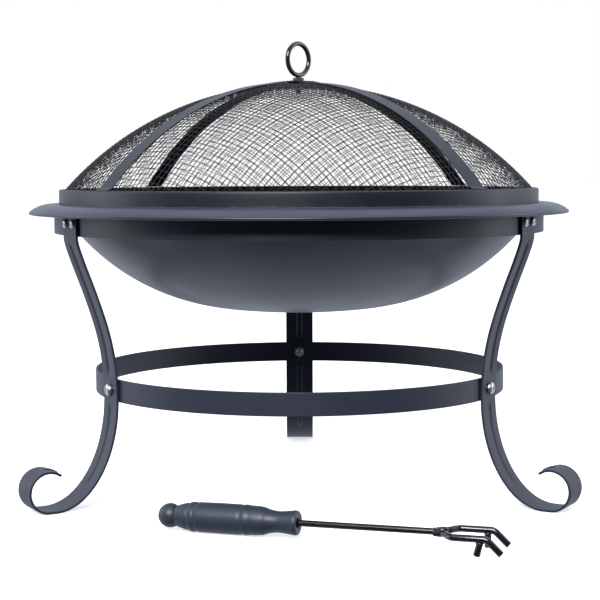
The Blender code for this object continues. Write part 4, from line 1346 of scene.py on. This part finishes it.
class FIREPIT_OT_stage(bpy.types.Operator):
    """Sets up the pale floor, the soft studio light and the camera"""
    bl_idname = "fire_pit.stage"
    bl_label = "Studio"

    def execute(self, context):
        scene = context.scene
        scene.view_settings.view_transform = "Standard"
        floor_shape = bmesh.new()
        bmesh.ops.create_circle(floor_shape, cap_ends=True, segments=64, radius=30.0)
        floor_mesh = as_mesh("floor", floor_shape)
        floor = show("floor", floor_mesh)
        floor_mesh.materials.append(self.floor_paper(scene.fire_pit_finishes.floor))
        floor.visible_diffuse = False
        floor.visible_glossy = False
        self.light_room(scene)
        for name, spot, size, power in (("top_softbox", (0.0, 0.2, 2.2), (2.0, 2.0), 8.0),
                                        ("left_softbox", (-2.2, 0.2, 0.8), (1.0, 1.6), 10.0),
                                        ("right_softbox", (2.2, 0.2, 0.8), (1.0, 1.6), 10.0),
                                        ("key_softbox", (-0.6, -2.6, 2.1), (1.6, 1.2), 140.0)):
            lamp = bpy.data.lights.new(name, "AREA")
            lamp.shape = "RECTANGLE"
            lamp.size, lamp.size_y = size
            lamp.energy = power
            item = show(name, lamp)
            item.location = spot
            aim = Vector((0.0, AXIS.y, 0.25)) - Vector(spot)
            item.rotation_euler = aim.to_track_quat("-Z", "Y").to_euler()
        self.camera(scene)
        return {"FINISHED"}

    def floor_paper(self, tint):
        """Matt white paper sweep, lit a little from within so that it stays near white."""
        material, tree, shader, spot = new_material("matt_white_paper")
        paper = blend(tree, noise(tree, spot, 40), shade(tint, 0.985), shade(tint))
        feed(tree, shader, {"Base Color": paper, "Roughness": 0.9, "Specular IOR Level": 0.1,
                            "Emission Color": (1.0, 1.0, 1.0, 1.0), "Emission Strength": 0.62})
        return material

    def light_room(self, scene):
        """A white room that is darker towards the camera's side, as a black-curtained studio is."""
        world = bpy.data.worlds.new("studio")
        scene.world = world
        world.use_nodes = True
        tree = world.node_tree
        tree.nodes.clear()
        spot = add(tree, "ShaderNodeTexCoord").outputs["Generated"]
        depth = add(tree, "ShaderNodeSeparateXYZ", {0: spot}).outputs["Y"]
        glow = add(tree, "ShaderNodeMapRange", {"Value": depth, "From Min": -0.7, "From Max": 0.35,
                                                "To Min": 0.08, "To Max": 1.05},
                   interpolation_type="SMOOTHSTEP")
        lit = add(tree, "ShaderNodeBackground", {"Color": (0.78, 0.85, 1.0, 1.0), "Strength": glow})
        seen = add(tree, "ShaderNodeBackground", {"Color": (1.0, 1.0, 1.0, 1.0), "Strength": 1.0})
        direct = add(tree, "ShaderNodeLightPath").outputs["Is Camera Ray"]
        mixed = add(tree, "ShaderNodeMixShader", {0: direct, 1: lit, 2: seen})
        add(tree, "ShaderNodeOutputWorld", {"Surface": mixed})

    def camera(self, scene):
        """A long lens a little above the rim, with the rim's front and back edges just apart."""
        lens = bpy.data.cameras.new("camera")
        lens.sensor_width = 36.0
        lens.lens = 93.70
        lens.shift_x = 0.00117
        lens.clip_end = 100.0
        item = show("camera", lens)
        turn = Matrix.Rotation(math.radians(85.2458), 4, "X") @ Matrix.Rotation(math.radians(-0.25), 4, "Z")
        item.matrix_world = Matrix.Translation((0.0, AXIS.y - 1.6462, 0.3313)) @ turn
        scene.camera = item


class FIREPIT_PT_pieces(bpy.types.Panel):
    """Lists the operators that build the fire pit"""
    bl_idname = "FIREPIT_PT_pieces"
    bl_label = "Fire Pit"
    bl_space_type = "VIEW_3D"
    bl_region_type = "UI"
    bl_category = "Fire Pit"

    def draw(self, context):
        for operator in OPERATORS:
            self.layout.operator(operator.bl_idname)
        for name in GROUPS:
            box = self.layout.box()
            box.label(text=name.replace("_", " ").title())
            group = getattr(context.scene, name)
            for key in group.__annotations__:
                box.prop(group, key)


GROUPS = {"fire_pit_stand": FirePitStand, "fire_pit_fasteners": FirePitFasteners,
          "fire_pit_bowl": FirePitBowl, "fire_pit_lid": FirePitLid, "fire_pit_grate": FirePitGrate,
          "fire_pit_poker": FirePitPoker, "fire_pit_finishes": FirePitFinishes}
OPERATORS = (FIREPIT_OT_stage, FIREPIT_OT_rings, FIREPIT_OT_legs, FIREPIT_OT_fasteners, FIREPIT_OT_bowl,
             FIREPIT_OT_lid_band, FIREPIT_OT_lid_mesh, FIREPIT_OT_straps, FIREPIT_OT_ring_handle,
             FIREPIT_OT_grate, FIREPIT_OT_poker)


def register():
    for entry in (*GROUPS.values(), *OPERATORS, FIREPIT_PT_pieces):
        bpy.utils.register_class(entry)
    for name, group in GROUPS.items():
        setattr(bpy.types.Scene, name, PointerProperty(type=group))


def unregister():
    for name in GROUPS:
        delattr(bpy.types.Scene, name)
    for entry in (FIREPIT_PT_pieces, *reversed(OPERATORS), *reversed(GROUPS.values())):
        bpy.utils.unregister_class(entry)


def main():
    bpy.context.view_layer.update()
    register()
    for operator in OPERATORS:
        group, name = operator.bl_idname.split(".")
        getattr(getattr(bpy.ops, group), name)()


if __name__ == "__main__":
    main()
